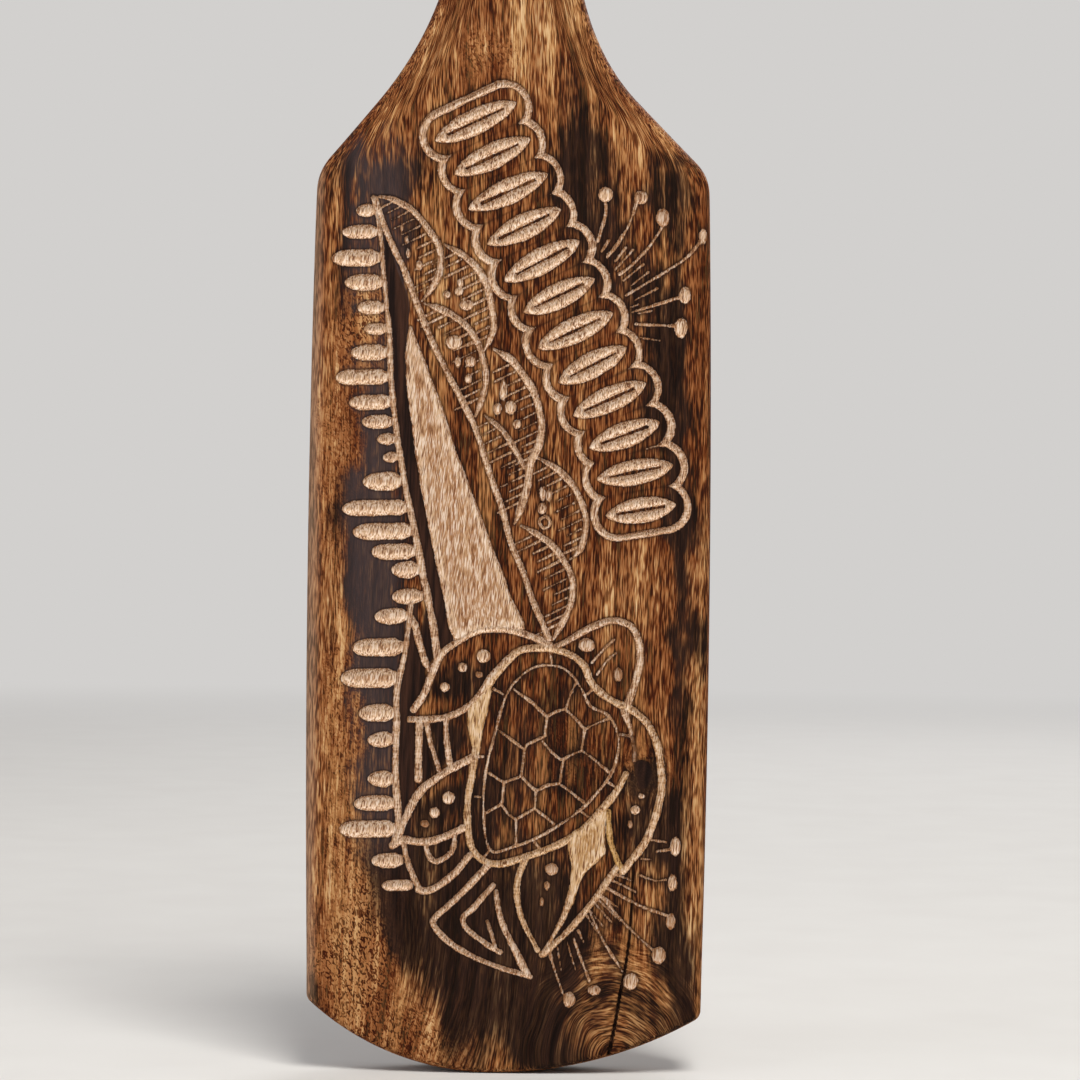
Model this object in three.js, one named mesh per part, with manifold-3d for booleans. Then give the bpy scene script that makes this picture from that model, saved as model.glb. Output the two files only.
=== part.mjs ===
// Carved wooden paddle: a plank cut to blade, neck and shaft, a grip block wedged on the
// shaft's tenon, and a sawtooth wall hanger nailed into a pocket in the flat back.
// Millimetres. X runs to the right, the carved face looks along -Y and +Z is up the shaft.
// The origin is where the wall hanger's middle notch hangs, on the plane of the flat back.

import * as THREE from 'three';
import { mergeVertices } from 'three/addons/utils/BufferGeometryUtils.js';
import Module from 'manifold-3d';

const wasm = await Module();
wasm.setup();

// Plank and blade, with heights counted up from the blade's tip
const plankThickness = 18;
const shoulderHalfWidth = 59.2;
const shoulderHeight = 270.4;
const shoulderRounding = 6;
const footHalfWidth = 59.3;
const footCornerRadius = 3.6;
const sideBulge = 1.4;
const tipOffset = -4;

// The hand-cut blade isn't quite the same on its two sides
const leftSide = {
  sign: -1,
  footArcRadius: 81,
  slopeTopHalfWidth: 41.5,
  slopeTopHeight: 291.7,
  neckReach: 26,
};
const rightSide = {
  sign: 1,
  footArcRadius: 124,
  slopeTopHalfWidth: 37.4,
  slopeTopHeight: 292.7,
  neckReach: 24,
};

// Shaft and the grip block on its end
const shaftHalfWidth = 16;
const shaftStartHeight = 372;
const shaftReach = 37;
const gripJointHeight = 462;
const gripStemLength = 12;
const gripBarHeight = 26;
const gripBarWidth = 84;
const gripEndRadius = 11;
const gripFilletRadius = 8;

// Roundover of the long edges, from the foot of the blade to the grip
const footRoundover = 2;
const sideRoundover = 3.5;
const neckRoundover = 6.5;
const gripRoundover = 7.5;
const footFadeLength = 16;
const shoulderFadeLength = 30;
const neckFadeLength = 45;
const neckFadeStart = 300;

// Through tenon and the wedge that spreads it along the grain of the grip block
const tenonWidth = 16;
const tenonThickness = 9;
const tenonRootLength = 6;
const wedgeLength = 24;
const wedgeTopWidth = 2.6;
const wedgeTipWidth = 1;

// Sawtooth hanger, its pocket and its two nails
const hangerHeight = 288;
const pocketWidth = 50;
const pocketHeight = 18;
const pocketDepth = 3.5;
const pocketRise = 1.5;
const hangerWidth = 42;
const hangerTallness = 8;
const hangerGauge = 0.8;
const hangerStandOff = 1.4;
const hangerTabLength = 8;
const hangerRampLength = 3;
const hangerCornerRadius = 2;
const toothPitch = 3;
const toothDepth = 1.4;
const toothCount = 5;
const nailShankRadius = 0.7;
const nailHeadRadius = 2;
const nailHeadThickness = 0.9;
const nailLength = 11;
const nailPointLength = 2;

// Carving on the face, drawn with X from the blade's middle line and heights from its tip
const carvingUnit = 1;
const carvingDepth = 0.8;

// Shape of a comb's tooth, as shares of its half height
const toothNose = 1.6;
const toothBevel = 0.6;
const toothEnd = 0.5;

// Comb down the left side: each tooth's left end, right end, height and half height
const combTeeth = [
  [-47.2, -41, 258.4, 2],
  [-51.3, -40.5, 252, 2.1],
  [-54.2, -39.6, 244.2, 2.6],
  [-50.3, -38.6, 236.8, 2.5],
  [-46.3, -38, 229.3, 2.2],
  [-44.3, -37.3, 223, 1.9],
  [-48.2, -37, 215.8, 2.5],
  [-52.6, -36.6, 208.4, 2.4],
  [-48.5, -35.8, 200.9, 2.4],
  [-44.6, -35.2, 195.1, 2.2],
  [-40, -34.3, 190, 1.8],
  [-38.2, -33.6, 184.5, 1.6],
  [-44.2, -32.2, 177.2, 2.8],
  [-50.3, -30.4, 169.2, 2.4],
  [-47, -29, 162.2, 2.6],
  [-41.3, -28, 156.2, 2.5],
  [-35.3, -26.6, 150.8, 2.6],
  [-35, -25.5, 142.8, 2.3],
  [-40.1, -30, 136.8, 2.4],
  [-46.7, -31, 127.4, 2.8],
  [-50.1, -32.8, 118.2, 3],
  [-44.7, -33.5, 107.7, 2.7],
  [-41.7, -33.8, 99.7, 2.4],
  [-41.6, -33.5, 88, 2.5],
  [-45.6, -33.2, 80.6, 2.4],
  [-50, -32.8, 72.9, 2.6],
  [-40.2, -30.5, 63.5, 2.4],
  [-37, -27.5, 56, 1.7],
];

// Sunk panel of the sail, point by point round its border
const sailPanel = [
  [-30.6, 224], [-31.8, 214], [-30.8, 203], [-28.5, 186], [-24.8, 166], [-20, 145], [-16.5, 130],
  [-11, 131.8], [5.2, 133.4], [1.3, 142.3], [-7.2, 164], [-11.5, 175], [-20, 198.5], [-28, 219],
];

// Gouged lines: width at the start and at the end, then the points that each runs through
const gougedLines = [
  // Spine of the comb and its two strands
  [1.2, 2.4, [[-42, 262.5], [-39.5, 250], [-36.7, 222], [-34.5, 195], [-28.4, 163], [-22.8, 136],
    [-20.9, 124]]],
  [1.6, 2.4, [[-28.9, 142], [-31, 125], [-33.1, 105], [-33.2, 90], [-31.7, 72]]],
  [2.1, 2.1, [[-28.6, 137], [-26, 127], [-23.7, 120.5]]],
  // Long edge of the sail
  [1.9, 1.9, [[-41.5, 262], [-36.5, 249], [-28.8, 231.5], [-15, 202.5], [-8, 186], [-2, 169], [0.5, 159.4],
    [4.25, 150.7], [12.3, 130.6]]],
  // Scallops beside the sail, from the top down
  [2.1, 2.1, [[-40.2, 262.6], [-36.5, 262], [-30, 258.5], [-25, 252.5], [-22, 247.5], [-21.7, 241],
    [-27, 231.5]]],
  [2.1, 2.1, [[-20.5, 248.5], [-14, 244.8], [-8.5, 238.5], [-6, 229.5], [-5.5, 223], [-8.3, 216.5]]],
  [2, 2, [[-26.5, 230.8], [-20, 228.5], [-13.5, 224], [-9.8, 218.5], [-7.5, 209], [-10.5, 197]]],
  [2.3, 2.3, [[-5.2, 217.3], [0.1, 214], [7.4, 203.3], [9.4, 194.6], [8.4, 188.3], [5.3, 176], [1.6, 165]]],
  [1.7, 1.7, [[-7.7, 197.4], [-2.5, 193], [5, 180.5]]],
  [2, 2, [[8.4, 184.8], [14.7, 181.2], [20, 174.8], [23, 166.5], [21.75, 158.2], [18.5, 154.5]]],
  [2, 2, [[3.6, 164.4], [8.4, 161.9], [13.4, 158.2], [18.4, 150.7], [19.25, 144], [13.6, 130.3]]],
  // Turtle: front flipper, the shell's left and right, right fin, bars and hind flipper
  [2.2, 2.2, [[-28, 108.8], [-25, 113.5], [-19.5, 126], [-14, 130], [-8, 133], [0, 133.2], [12.6, 128.6]]],
  [2, 2, [[-29, 106], [-20, 106.3], [-13, 109], [-8.5, 113.5], [0.1, 124.5]]],
  [2.2, 2.2, [[-2, 121.3], [-6.4, 114.7], [-11.5, 80], [-10.8, 70], [-7.5, 64.5], [-2, 62.8], [6.3, 65.1],
    [22.2, 72.8], [35.9, 90.3]]],
  [2.3, 2.3, [[-2, 121.3], [3.4, 126.8], [11.3, 127.8], [18.8, 125.9], [23, 122.6], [25.5, 117.2],
    [30.9, 112.6], [38, 109.25], [42.6, 104.7], [45.5, 98], [46.75, 88.25], [42.6, 71.2], [35.3, 61]]],
  [1.8, 2.3, [[14.5, 128.3], [24.7, 134], [31.3, 136.3], [36.75, 134.7], [39.25, 130.1], [39.7, 123.8],
    [35.9, 110.5]]],
  [2.2, 2.2, [[-26.3, 105], [-26.3, 88]]],
  [1.6, 1.6, [[-24, 104.5], [-22.8, 99], [-20.2, 91]]],
  [1.8, 1.8, [[-18.3, 106], [-18, 100], [-16.8, 92]]],
  [2.4, 2.4, [[-9.5, 95], [-20, 89], [-27, 82.5], [-30.5, 75.5], [-33.5, 68.5]]],
  [2.5, 2.5, [[-33.8, 68], [-31, 69.7], [-22, 69.5], [-12.5, 73.5]]],
  // Turtle: tail and the fins round it
  [1.6, 1.6, [[-24, 69], [-23.3, 66], [-20, 63.5], [-16, 66.5], [-15.2, 71.5]]],
  [1.7, 1.7, [[-30.5, 69], [-28, 60], [-25.5, 54.8]]],
  [2.1, 2.1, [[-26, 55], [-20, 56], [-15.5, 59.5], [-10.5, 65.5]]],
  [2.4, 1.5, [[6.3, 65], [4, 58.7], [3.8, 52], [5.7, 45.3], [10.1, 37.2]]],
  [2.4, 1.2, [[20.1, 54.5], [18, 47.8], [11.5, 36]]],
  [2, 2, [[33.4, 62], [24.7, 49.5], [11.5, 35.8]]],
  [2.1, 1.5, [[-5, 62.5], [-21, 46.4], [-21, 43.9], [-16.8, 39.5], [-10.2, 35.4], [8.2, 29.1]]],
  [1.8, 1.8, [[-3.5, 56.5], [-12.4, 46.6], [-11.4, 43.5], [-1.2, 36.4]]],
  [1.6, 2.4, [[-2.6, 54.5], [-1.2, 46.5], [2, 39.5], [7, 30]]],
];

// Garland of leaves across the upper blade, inside one scalloped line. The leaves get shorter
// by the taper from first to last, and every other one by a little more. A fullness of 0.5
// makes a leaf an ellipse, and one of 1 gives it pointed ends.
const garlandSpine = [
  [-11.5, 285.5], [-4, 270], [4, 253], [12.5, 237], [20.5, 220.5], [29, 204], [36, 187], [39.5, 169.5],
];
const garlandLeaves = 12;
const leafHalfLength = 13.5;
const leafHalfWidth = 3.9;
const leafFullness = 0.7;
const leafTaper = 0.15;
const leafAlternation = 0.05;
const garlandGap = 2.2;
const garlandLineWidth = 2.3;

// Clearance between pieces that touch, and how finely round shapes are faceted
const clearance = 0.3;
const nailHoleExtra = 1;
const cutMargin = 2;
const roundoverSteps = 4;
const curveSteps = 12;
const nailSides = 16;
const toothSteps = 4;
const leafSteps = 6;
const garlandEndSteps = 4;

// Everything on the plank is centred on its thickness, with the back on y = 0
const plankMiddle = -plankThickness / 2;
const gripTopHeight = gripJointHeight + gripStemLength + gripBarHeight;

const paddleWood = new THREE.MeshStandardMaterial({ color: 0x8a5a30, roughness: 0.6, metalness: 0 });
const gripWood = new THREE.MeshStandardMaterial({ color: 0x7a4c27, roughness: 0.6, metalness: 0 });
const wedgeWood = new THREE.MeshStandardMaterial({ color: 0xc49a66, roughness: 0.7, metalness: 0 });
const hangerSteel = new THREE.MeshStandardMaterial({ color: 0xb9a878, roughness: 0.35, metalness: 1 });
const nailSteel = new THREE.MeshStandardMaterial({ color: 0xc4b488, roughness: 0.35, metalness: 1 });

// Makes a closed three.js geometry into a solid that can be joined and cut.
function solidOf(geometry) {
  const bare = geometry.clone();
  bare.deleteAttribute('normal');
  bare.deleteAttribute('uv');
  const merged = mergeVertices(bare);
  return new wasm.Manifold(new wasm.Mesh({
    numProp: 3,
    vertProperties: new Float32Array(merged.attributes.position.array),
    triVerts: new Uint32Array(merged.index.array),
  }));
}

// Gives a solid back as a named mesh with its material.
function meshOf(name, solid, material) {
  const { vertProperties, triVerts } = solid.getMesh();
  const geometry = new THREE.BufferGeometry();
  geometry.setAttribute('position', new THREE.BufferAttribute(vertProperties, 3));
  geometry.setIndex(new THREE.BufferAttribute(triVerts, 1));
  geometry.computeVertexNormals();
  const mesh = new THREE.Mesh(geometry, material);
  mesh.name = name;
  return mesh;
}

// A box between two corners.
function boxSolid(low, high) {
  const size = new THREE.Vector3().subVectors(high, low);
  const geometry = new THREE.BoxGeometry(size.x, size.y, size.z);
  geometry.translate(low.x + size.x / 2, low.y + size.y / 2, low.z + size.z / 2);
  return solidOf(geometry);
}

// A flat shape drawn in X and Z, made solid from the y of its front to the y of its back.
function slabSolid(shape, front, back) {
  const geometry = new THREE.ExtrudeGeometry(shape, {
    depth: back - front,
    bevelEnabled: false,
    curveSegments: curveSteps,
  });
  geometry.rotateX(Math.PI / 2);
  geometry.translate(0, back, 0);
  return solidOf(geometry);
}

// Outline points of a closed path in X and Z, anticlockwise seen from the front, once each.
function outlineOf(path) {
  const points = path.getPoints(curveSteps);
  const kept = points.filter((point, i) => point.distanceTo(points[(i + 1) % points.length]) > 0.01);
  return THREE.ShapeUtils.isClockWise(kept) ? kept.reverse() : kept;
}

// A plank cut to an outline, its front and back edges rounded over by a radius that
// follows the height: ring by ring, from the edge of the front face to that of the back.
// Each outline point moves inwards along its mitre, so that straight edges stay straight.
function roundedPlank(outline, roundoverAt) {
  const count = outline.length;
  const edgeNormals = outline.map((point, i) => {
    const along = outline[(i + 1) % count].clone().sub(point).normalize();
    return new THREE.Vector2(along.y, -along.x);
  });
  const outward = edgeNormals.map((after, i) => {
    const before = edgeNormals[(i + count - 1) % count];
    return before.clone().add(after).divideScalar(1 + before.dot(after));
  });
  const positions = [];
  const frontRing = [];
  const addRing = (angle, side) => {
    outline.forEach((point, i) => {
      const radius = roundoverAt(point.y);
      const inset = radius * (1 - Math.cos(angle));
      const reach = plankThickness / 2 - radius + radius * Math.sin(angle);
      const place = point.clone().addScaledVector(outward[i], -inset);
      positions.push(place.x, plankMiddle + side * reach, place.y);
      if (positions.length <= 3 * count) frontRing.push(place);
    });
  };
  for (let step = roundoverSteps; step >= 0; step -= 1) {
    addRing((Math.PI / 2) * (step / roundoverSteps), -1);
  }
  for (let step = 0; step <= roundoverSteps; step += 1) {
    addRing((Math.PI / 2) * (step / roundoverSteps), 1);
  }
  const ringCount = 2 * (roundoverSteps + 1);
  const triangles = [];
  for (let ring = 0; ring < ringCount - 1; ring += 1) {
    for (let i = 0; i < count; i += 1) {
      const here = ring * count + i;
      const next = ring * count + ((i + 1) % count);
      triangles.push(here, here + count, next, next, here + count, next + count);
    }
  }
  const backStart = (ringCount - 1) * count;
  THREE.ShapeUtils.triangulateShape(frontRing, []).forEach(([a, b, c]) => {
    triangles.push(a, b, c, backStart + a, backStart + c, backStart + b);
  });
  const geometry = new THREE.BufferGeometry();
  geometry.setAttribute('position', new THREE.Float32BufferAttribute(positions, 3));
  geometry.setIndex(triangles);
  return solidOf(geometry);
}

// The foot corner of one side: an arc of the foot meets the side in a small round.
// Its centre lies at the corner radius inside both, so it follows from the two.
function footCorner(side) {
  const centreX = footHalfWidth - footCornerRadius;
  const across = centreX - side.sign * tipOffset;
  const centreZ = side.footArcRadius - Math.sqrt((side.footArcRadius - footCornerRadius) ** 2 - across ** 2);
  const angle = Math.atan2(centreZ - side.footArcRadius, across);
  return { centreX, centreZ, angle };
}

// Outline of blade, neck and shaft. The shaft runs on into the grip block and is cut there.
function bladeOutline() {
  const path = new THREE.Path();
  const right = footCorner(rightSide);
  const left = footCorner(leftSide);
  const topHeight = gripJointHeight + tenonRootLength;
  path.moveTo(tipOffset, 0);
  path.absarc(tipOffset, rightSide.footArcRadius, rightSide.footArcRadius, -Math.PI / 2, right.angle);
  path.absarc(right.centreX, right.centreZ, footCornerRadius, right.angle, 0);
  sideUp(path, rightSide, right.centreZ);
  path.lineTo(shaftHalfWidth, topHeight);
  path.lineTo(-shaftHalfWidth, topHeight);
  sideDown(path, leftSide, left.centreZ);
  path.absarc(-left.centreX, left.centreZ, footCornerRadius, -Math.PI, -Math.PI - left.angle);
  path.absarc(tipOffset, leftSide.footArcRadius, leftSide.footArcRadius, Math.PI - left.angle - 2 * Math.PI,
    -Math.PI / 2);
  return outlineOf(path);
}

// The points that shape one side above its foot, from the blade's side to the shaft.
function sidePoints(side, footTop) {
  const corner = new THREE.Vector2(shoulderHalfWidth, shoulderHeight);
  const slopeTop = new THREE.Vector2(side.slopeTopHalfWidth, side.slopeTopHeight);
  const slope = slopeTop.clone().sub(corner).normalize();
  const points = {
    foot: new THREE.Vector2(footHalfWidth, footTop),
    bulge: new THREE.Vector2(shoulderHalfWidth + 2 * sideBulge, (footTop + shoulderHeight) / 2),
    belowCorner: new THREE.Vector2(shoulderHalfWidth, shoulderHeight - shoulderRounding),
    corner,
    aboveCorner: corner.clone().addScaledVector(slope, shoulderRounding),
    slopeTop,
    neckLow: slopeTop.clone().addScaledVector(slope, side.neckReach),
    neckHigh: new THREE.Vector2(shaftHalfWidth, shaftStartHeight - shaftReach),
    shaft: new THREE.Vector2(shaftHalfWidth, shaftStartHeight),
  };
  Object.values(points).forEach((point) => point.setX(side.sign * point.x));
  return points;
}

// Draws the right side of the plank, from its foot to the shaft.
function sideUp(path, side, footTop) {
  const p = sidePoints(side, footTop);
  path.quadraticCurveTo(p.bulge.x, p.bulge.y, p.belowCorner.x, p.belowCorner.y);
  path.quadraticCurveTo(p.corner.x, p.corner.y, p.aboveCorner.x, p.aboveCorner.y);
  path.lineTo(p.slopeTop.x, p.slopeTop.y);
  path.bezierCurveTo(p.neckLow.x, p.neckLow.y, p.neckHigh.x, p.neckHigh.y, p.shaft.x, p.shaft.y);
}

// Draws the left side of the plank, from the shaft to its foot.
function sideDown(path, side, footTop) {
  const p = sidePoints(side, footTop);
  path.lineTo(p.shaft.x, p.shaft.y);
  path.bezierCurveTo(p.neckHigh.x, p.neckHigh.y, p.neckLow.x, p.neckLow.y, p.slopeTop.x, p.slopeTop.y);
  path.lineTo(p.aboveCorner.x, p.aboveCorner.y);
  path.quadraticCurveTo(p.corner.x, p.corner.y, p.belowCorner.x, p.belowCorner.y);
  path.quadraticCurveTo(p.bulge.x, p.bulge.y, p.foot.x, p.foot.y);
}

// The radius of the rounded edge at a height: small at the foot, wide on neck and shaft.
function bladeRoundover(height) {
  const { smoothstep } = THREE.MathUtils;
  const footTop = footCorner(rightSide).centreZ;
  const aboveFoot = smoothstep(height, footTop, footTop + footFadeLength);
  const shoulderFadeStart = shoulderHeight - shoulderFadeLength / 2;
  const aboveShoulder = smoothstep(height, shoulderFadeStart, shoulderFadeStart + shoulderFadeLength);
  const aboveNeck = smoothstep(height, neckFadeStart, neckFadeStart + neckFadeLength);
  return footRoundover
    + (sideRoundover - footRoundover) * aboveFoot
    + (neckRoundover - sideRoundover) * aboveShoulder
    + (gripRoundover - neckRoundover) * aboveNeck;
}

// Outline of the grip block: a bar with round ends on a stem as wide as the shaft.
function gripOutline() {
  const path = new THREE.Path();
  const barBottom = gripTopHeight - gripBarHeight;
  const endX = gripBarWidth / 2 - gripEndRadius;
  const filletX = shaftHalfWidth + gripFilletRadius;
  const bottom = gripJointHeight - tenonRootLength;
  const endLow = barBottom + gripEndRadius;
  const endHigh = endLow + (gripBarHeight - 2 * gripEndRadius) / 2;
  path.moveTo(-shaftHalfWidth, bottom);
  path.lineTo(shaftHalfWidth, bottom);
  path.lineTo(shaftHalfWidth, barBottom - gripFilletRadius);
  path.absarc(filletX, barBottom - gripFilletRadius, gripFilletRadius, Math.PI, Math.PI / 2, true);
  path.lineTo(endX, barBottom);
  path.absarc(endX, endLow, gripEndRadius, -Math.PI / 2, 0);
  path.absarc(endX, endHigh, gripEndRadius, 0, Math.PI / 2);
  path.quadraticCurveTo(0, 2 * gripTopHeight - endHigh - gripEndRadius, -endX, endHigh + gripEndRadius);
  path.absarc(-endX, endHigh, gripEndRadius, Math.PI / 2, Math.PI);
  path.absarc(-endX, endLow, gripEndRadius, Math.PI, 1.5 * Math.PI);
  path.lineTo(-filletX, barBottom);
  path.absarc(-filletX, barBottom - gripFilletRadius, gripFilletRadius, Math.PI / 2, 0, true);
  return outlineOf(path);
}

// The tapered strip that fills the saw kerf, grown sideways to cut the kerf itself.
function wedgeSolid(grow, thickness) {
  const top = gripTopHeight + cutMargin;
  const tip = gripTopHeight - wedgeLength;
  const shape = new THREE.Shape();
  shape.moveTo(-wedgeTipWidth / 2 - grow, tip - grow);
  shape.lineTo(wedgeTipWidth / 2 + grow, tip - grow);
  shape.lineTo(wedgeTopWidth / 2 + grow, top);
  shape.lineTo(-wedgeTopWidth / 2 - grow, top);
  return slabSolid(shape, plankMiddle - thickness / 2, plankMiddle + thickness / 2);
}

// The pocket routed into the back: a slot with round ends about the hanger.
function pocketSolid() {
  const radius = pocketHeight / 2;
  const centre = hangerHeight + pocketRise;
  const endX = pocketWidth / 2 - radius;
  const shape = new THREE.Shape();
  shape.absarc(endX, centre, radius, -Math.PI / 2, Math.PI / 2);
  shape.absarc(-endX, centre, radius, Math.PI / 2, 1.5 * Math.PI);
  return slabSolid(shape, -pocketDepth, cutMargin);
}

// Equal steps from 0 to 1, both ends included.
function stepsTo(count) {
  return Array.from({ length: count + 1 }, (_, i) => i / count);
}

// A place in the carving's drawing.
function drawn([x, height]) {
  return new THREE.Vector2(x * carvingUnit, height * carvingUnit);
}

// The hollow that a gouge leaves inside an outline on the face.
function hollow(points) {
  return slabSolid(new THREE.Shape(points), -plankThickness - cutMargin, -plankThickness + carvingDepth);
}

// A gouged line: two sides at half its width from its points, square to the way it runs.
function gougedLine([startWidth, endWidth, path]) {
  const points = path.map(drawn);
  const last = points.length - 1;
  const sideAt = (i, sign) => {
    const way = points[Math.min(i + 1, last)].clone().sub(points[Math.max(i - 1, 0)]).normalize();
    const width = THREE.MathUtils.lerp(startWidth, endWidth, i / last) * carvingUnit;
    return points[i].clone().add(new THREE.Vector2(-way.y, way.x).multiplyScalar((sign * width) / 2));
  };
  const left = points.map((_, i) => sideAt(i, 1));
  const right = points.map((_, i) => sideAt(i, -1));
  return hollow([...left, ...right.reverse()]);
}

// One tooth of the comb: a half ellipse for its nose, level sides and a bevelled right end.
function combTooth([left, right, height, half]) {
  const nose = stepsTo(toothSteps).map((share) => {
    const angle = Math.PI * (0.5 - share);
    return [left + toothNose * half * (1 - Math.cos(angle)), height + half * Math.sin(angle)];
  });
  return hollow([
    ...nose,
    [right - toothBevel * half, height - half],
    [right, height - toothEnd * half],
    [right, height + toothEnd * half],
    [right - toothBevel * half, height + half],
  ].map(drawn));
}

// Where each leaf of the garland lies: square to the spine, at equal distances along it.
function garlandPlaces() {
  const spine = new THREE.SplineCurve(garlandSpine.map(drawn));
  return stepsTo(garlandLeaves - 1).map((share, i) => {
    const way = spine.getTangentAt(share);
    const shortened = 1 - leafTaper * share - leafAlternation * (i % 2);
    return {
      middle: spine.getPointAt(share),
      along: new THREE.Vector2(-way.y, way.x),
      halfLength: leafHalfLength * shortened * carvingUnit,
    };
  });
}

// A point at a distance along a leaf and a distance to its left.
function besideLeaf({ middle, along }, forward, left) {
  const across = new THREE.Vector2(-along.y, along.x);
  return middle.clone().addScaledVector(along, forward).addScaledVector(across, left);
}

// One leaf: its half width is (1 - u^2)^fullness of the widest, at the share u of its half length.
function garlandLeaf(leaf) {
  const edge = (side) => stepsTo(leafSteps).slice(1).map((step) => {
    const share = side * Math.cos(Math.PI * step);
    const halfWidth = leafHalfWidth * carvingUnit * (1 - share ** 2) ** leafFullness;
    return besideLeaf(leaf, share * leaf.halfLength, side * halfWidth);
  });
  return hollow([...edge(1), ...edge(-1)]);
}

// A bar with round ends that encloses a leaf with some room round it.
function leafBar(leaf, room) {
  const radius = (leafHalfWidth + room) * carvingUnit;
  const reach = leaf.halfLength - leafHalfWidth * carvingUnit;
  const end = (side) => stepsTo(garlandEndSteps).map((step) => {
    const angle = Math.PI * (step - 0.5);
    return besideLeaf(leaf, side * (reach + radius * Math.cos(angle)), side * radius * Math.sin(angle));
  });
  return hollow([...end(1), ...end(-1)]);
}

// The garland: its leaves, and the line that keeps one distance from bars round them.
function garlandSolids() {
  const leaves = garlandPlaces();
  const joined = (room) => leaves.map((leaf) => leafBar(leaf, room)).reduce((all, bar) => all.add(bar));
  const line = joined(garlandGap + garlandLineWidth).subtract(joined(garlandGap));
  return [line, ...leaves.map(garlandLeaf)];
}

// Everything that is carved out of the face.
function carvingSolids() {
  return [
    hollow(sailPanel.map(drawn)),
    ...combTeeth.map(combTooth),
    ...gougedLines.map(gougedLine),
    ...garlandSolids(),
  ];
}

// Front outline of the hanger: round corners and a row of teeth along the lower edge.
// The middle notch is the one that hangs on the wall nail, so it is the origin's height.
function hangerOutline() {
  const halfWidth = hangerWidth / 2;
  const notch = hangerHeight;
  const bottom = notch - toothDepth;
  const top = bottom + hangerTallness;
  const r = hangerCornerRadius;
  const shape = new THREE.Shape();
  shape.moveTo(halfWidth - r, bottom);
  shape.absarc(halfWidth - r, bottom + r, r, -Math.PI / 2, 0);
  shape.absarc(halfWidth - r, top - r, r, 0, Math.PI / 2);
  shape.absarc(-halfWidth + r, top - r, r, Math.PI / 2, Math.PI);
  shape.absarc(-halfWidth + r, bottom + r, r, Math.PI, 1.5 * Math.PI);
  for (let tooth = 0; tooth < toothCount; tooth += 1) {
    const centre = (tooth - (toothCount - 1) / 2) * toothPitch;
    shape.lineTo(centre - toothPitch / 2, bottom);
    shape.lineTo(centre, notch);
  }
  shape.lineTo((toothCount / 2) * toothPitch, bottom);
  return shape;
}

// Where each nail goes through the hanger's end tab.
const nailX = hangerWidth / 2 - hangerTabLength / 2;
const nailZ = hangerHeight - toothDepth + hangerTallness / 2;
const tabFloor = -pocketDepth + clearance;
const tabTop = tabFloor + hangerGauge;

// Hanger plate: two tabs on the pocket floor and a raised bridge between them, drawn
// from above as one bent strip and then cut to its front outline and nail holes.
function hangerSolid() {
  const halfWidth = hangerWidth / 2;
  const tabEnd = halfWidth - hangerTabLength;
  const bridgeEnd = tabEnd - hangerRampLength;
  const strip = [
    [halfWidth, tabFloor],
    [halfWidth, tabTop],
    [tabEnd, tabTop],
    [bridgeEnd, tabTop + hangerStandOff],
    [-bridgeEnd, tabTop + hangerStandOff],
    [-tabEnd, tabTop],
    [-halfWidth, tabTop],
    [-halfWidth, tabFloor],
    [-tabEnd, tabFloor],
    [-bridgeEnd, tabFloor + hangerStandOff],
    [bridgeEnd, tabFloor + hangerStandOff],
    [tabEnd, tabFloor],
  ].map(([x, y]) => new THREE.Vector2(x, y));
  const bent = new THREE.ExtrudeGeometry(new THREE.Shape(strip), {
    depth: hangerTallness + 2 * cutMargin,
    bevelEnabled: false,
  });
  bent.translate(0, 0, hangerHeight - toothDepth - cutMargin);
  let plate = solidOf(bent).intersect(slabSolid(hangerOutline(), -pocketDepth, 0));
  [-nailX, nailX].forEach((x) => {
    plate = plate.subtract(nailHole(x, nailShankRadius + clearance));
  });
  return plate;
}

// A round hole along Y for a nail, through the tab and into the plank.
function nailHole(x, radius) {
  const length = nailLength + nailHoleExtra;
  const geometry = new THREE.CylinderGeometry(radius, radius, length, nailSides);
  geometry.translate(x, tabTop + clearance - length / 2, nailZ);
  return solidOf(geometry);
}

// Nail with a flat round head on the tab, turned about its own axis along Y.
function nailSolid(x) {
  const underHead = tabTop + clearance;
  const tip = underHead - nailLength;
  const profile = [
    [0, tip],
    [nailShankRadius, tip + nailPointLength],
    [nailShankRadius, underHead],
    [nailHeadRadius, underHead],
    [nailHeadRadius, underHead + nailHeadThickness / 2],
    [nailHeadRadius * 0.7, underHead + nailHeadThickness],
    [0, underHead + nailHeadThickness],
  ].map(([radius, y]) => new THREE.Vector2(radius, y));
  const geometry = new THREE.LatheGeometry(profile, nailSides);
  geometry.translate(x, 0, nailZ);
  return solidOf(geometry);
}

// Grip block before its mortise is cut, ending in a flat face on the joint with the shaft.
const wide = gripBarWidth + plankThickness;
const gripBlock = roundedPlank(gripOutline(), () => gripRoundover).intersect(boxSolid(
  new THREE.Vector3(-wide, -wide, gripJointHeight + clearance),
  new THREE.Vector3(wide, wide, gripTopHeight + cutMargin),
));

// A bar with the tenon's section through the grip block, with some room round it.
function tenonBar(room, bottom) {
  const halfWidth = tenonWidth / 2 + room;
  const halfThickness = tenonThickness / 2 + room;
  return boxSolid(
    new THREE.Vector3(-halfWidth, plankMiddle - halfThickness, bottom),
    new THREE.Vector3(halfWidth, plankMiddle + halfThickness, gripTopHeight + cutMargin),
  );
}

// The tenon stands on the shaft's end and is trimmed flush with the crown of the grip.
const tenonInGrip = tenonBar(0, gripJointHeight + clearance).intersect(gripBlock);
const tenonRoot = boxSolid(
  new THREE.Vector3(-tenonWidth / 2, plankMiddle - tenonThickness / 2, gripJointHeight - tenonRootLength),
  new THREE.Vector3(tenonWidth / 2, plankMiddle + tenonThickness / 2, gripJointHeight + gripStemLength),
);

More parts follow.
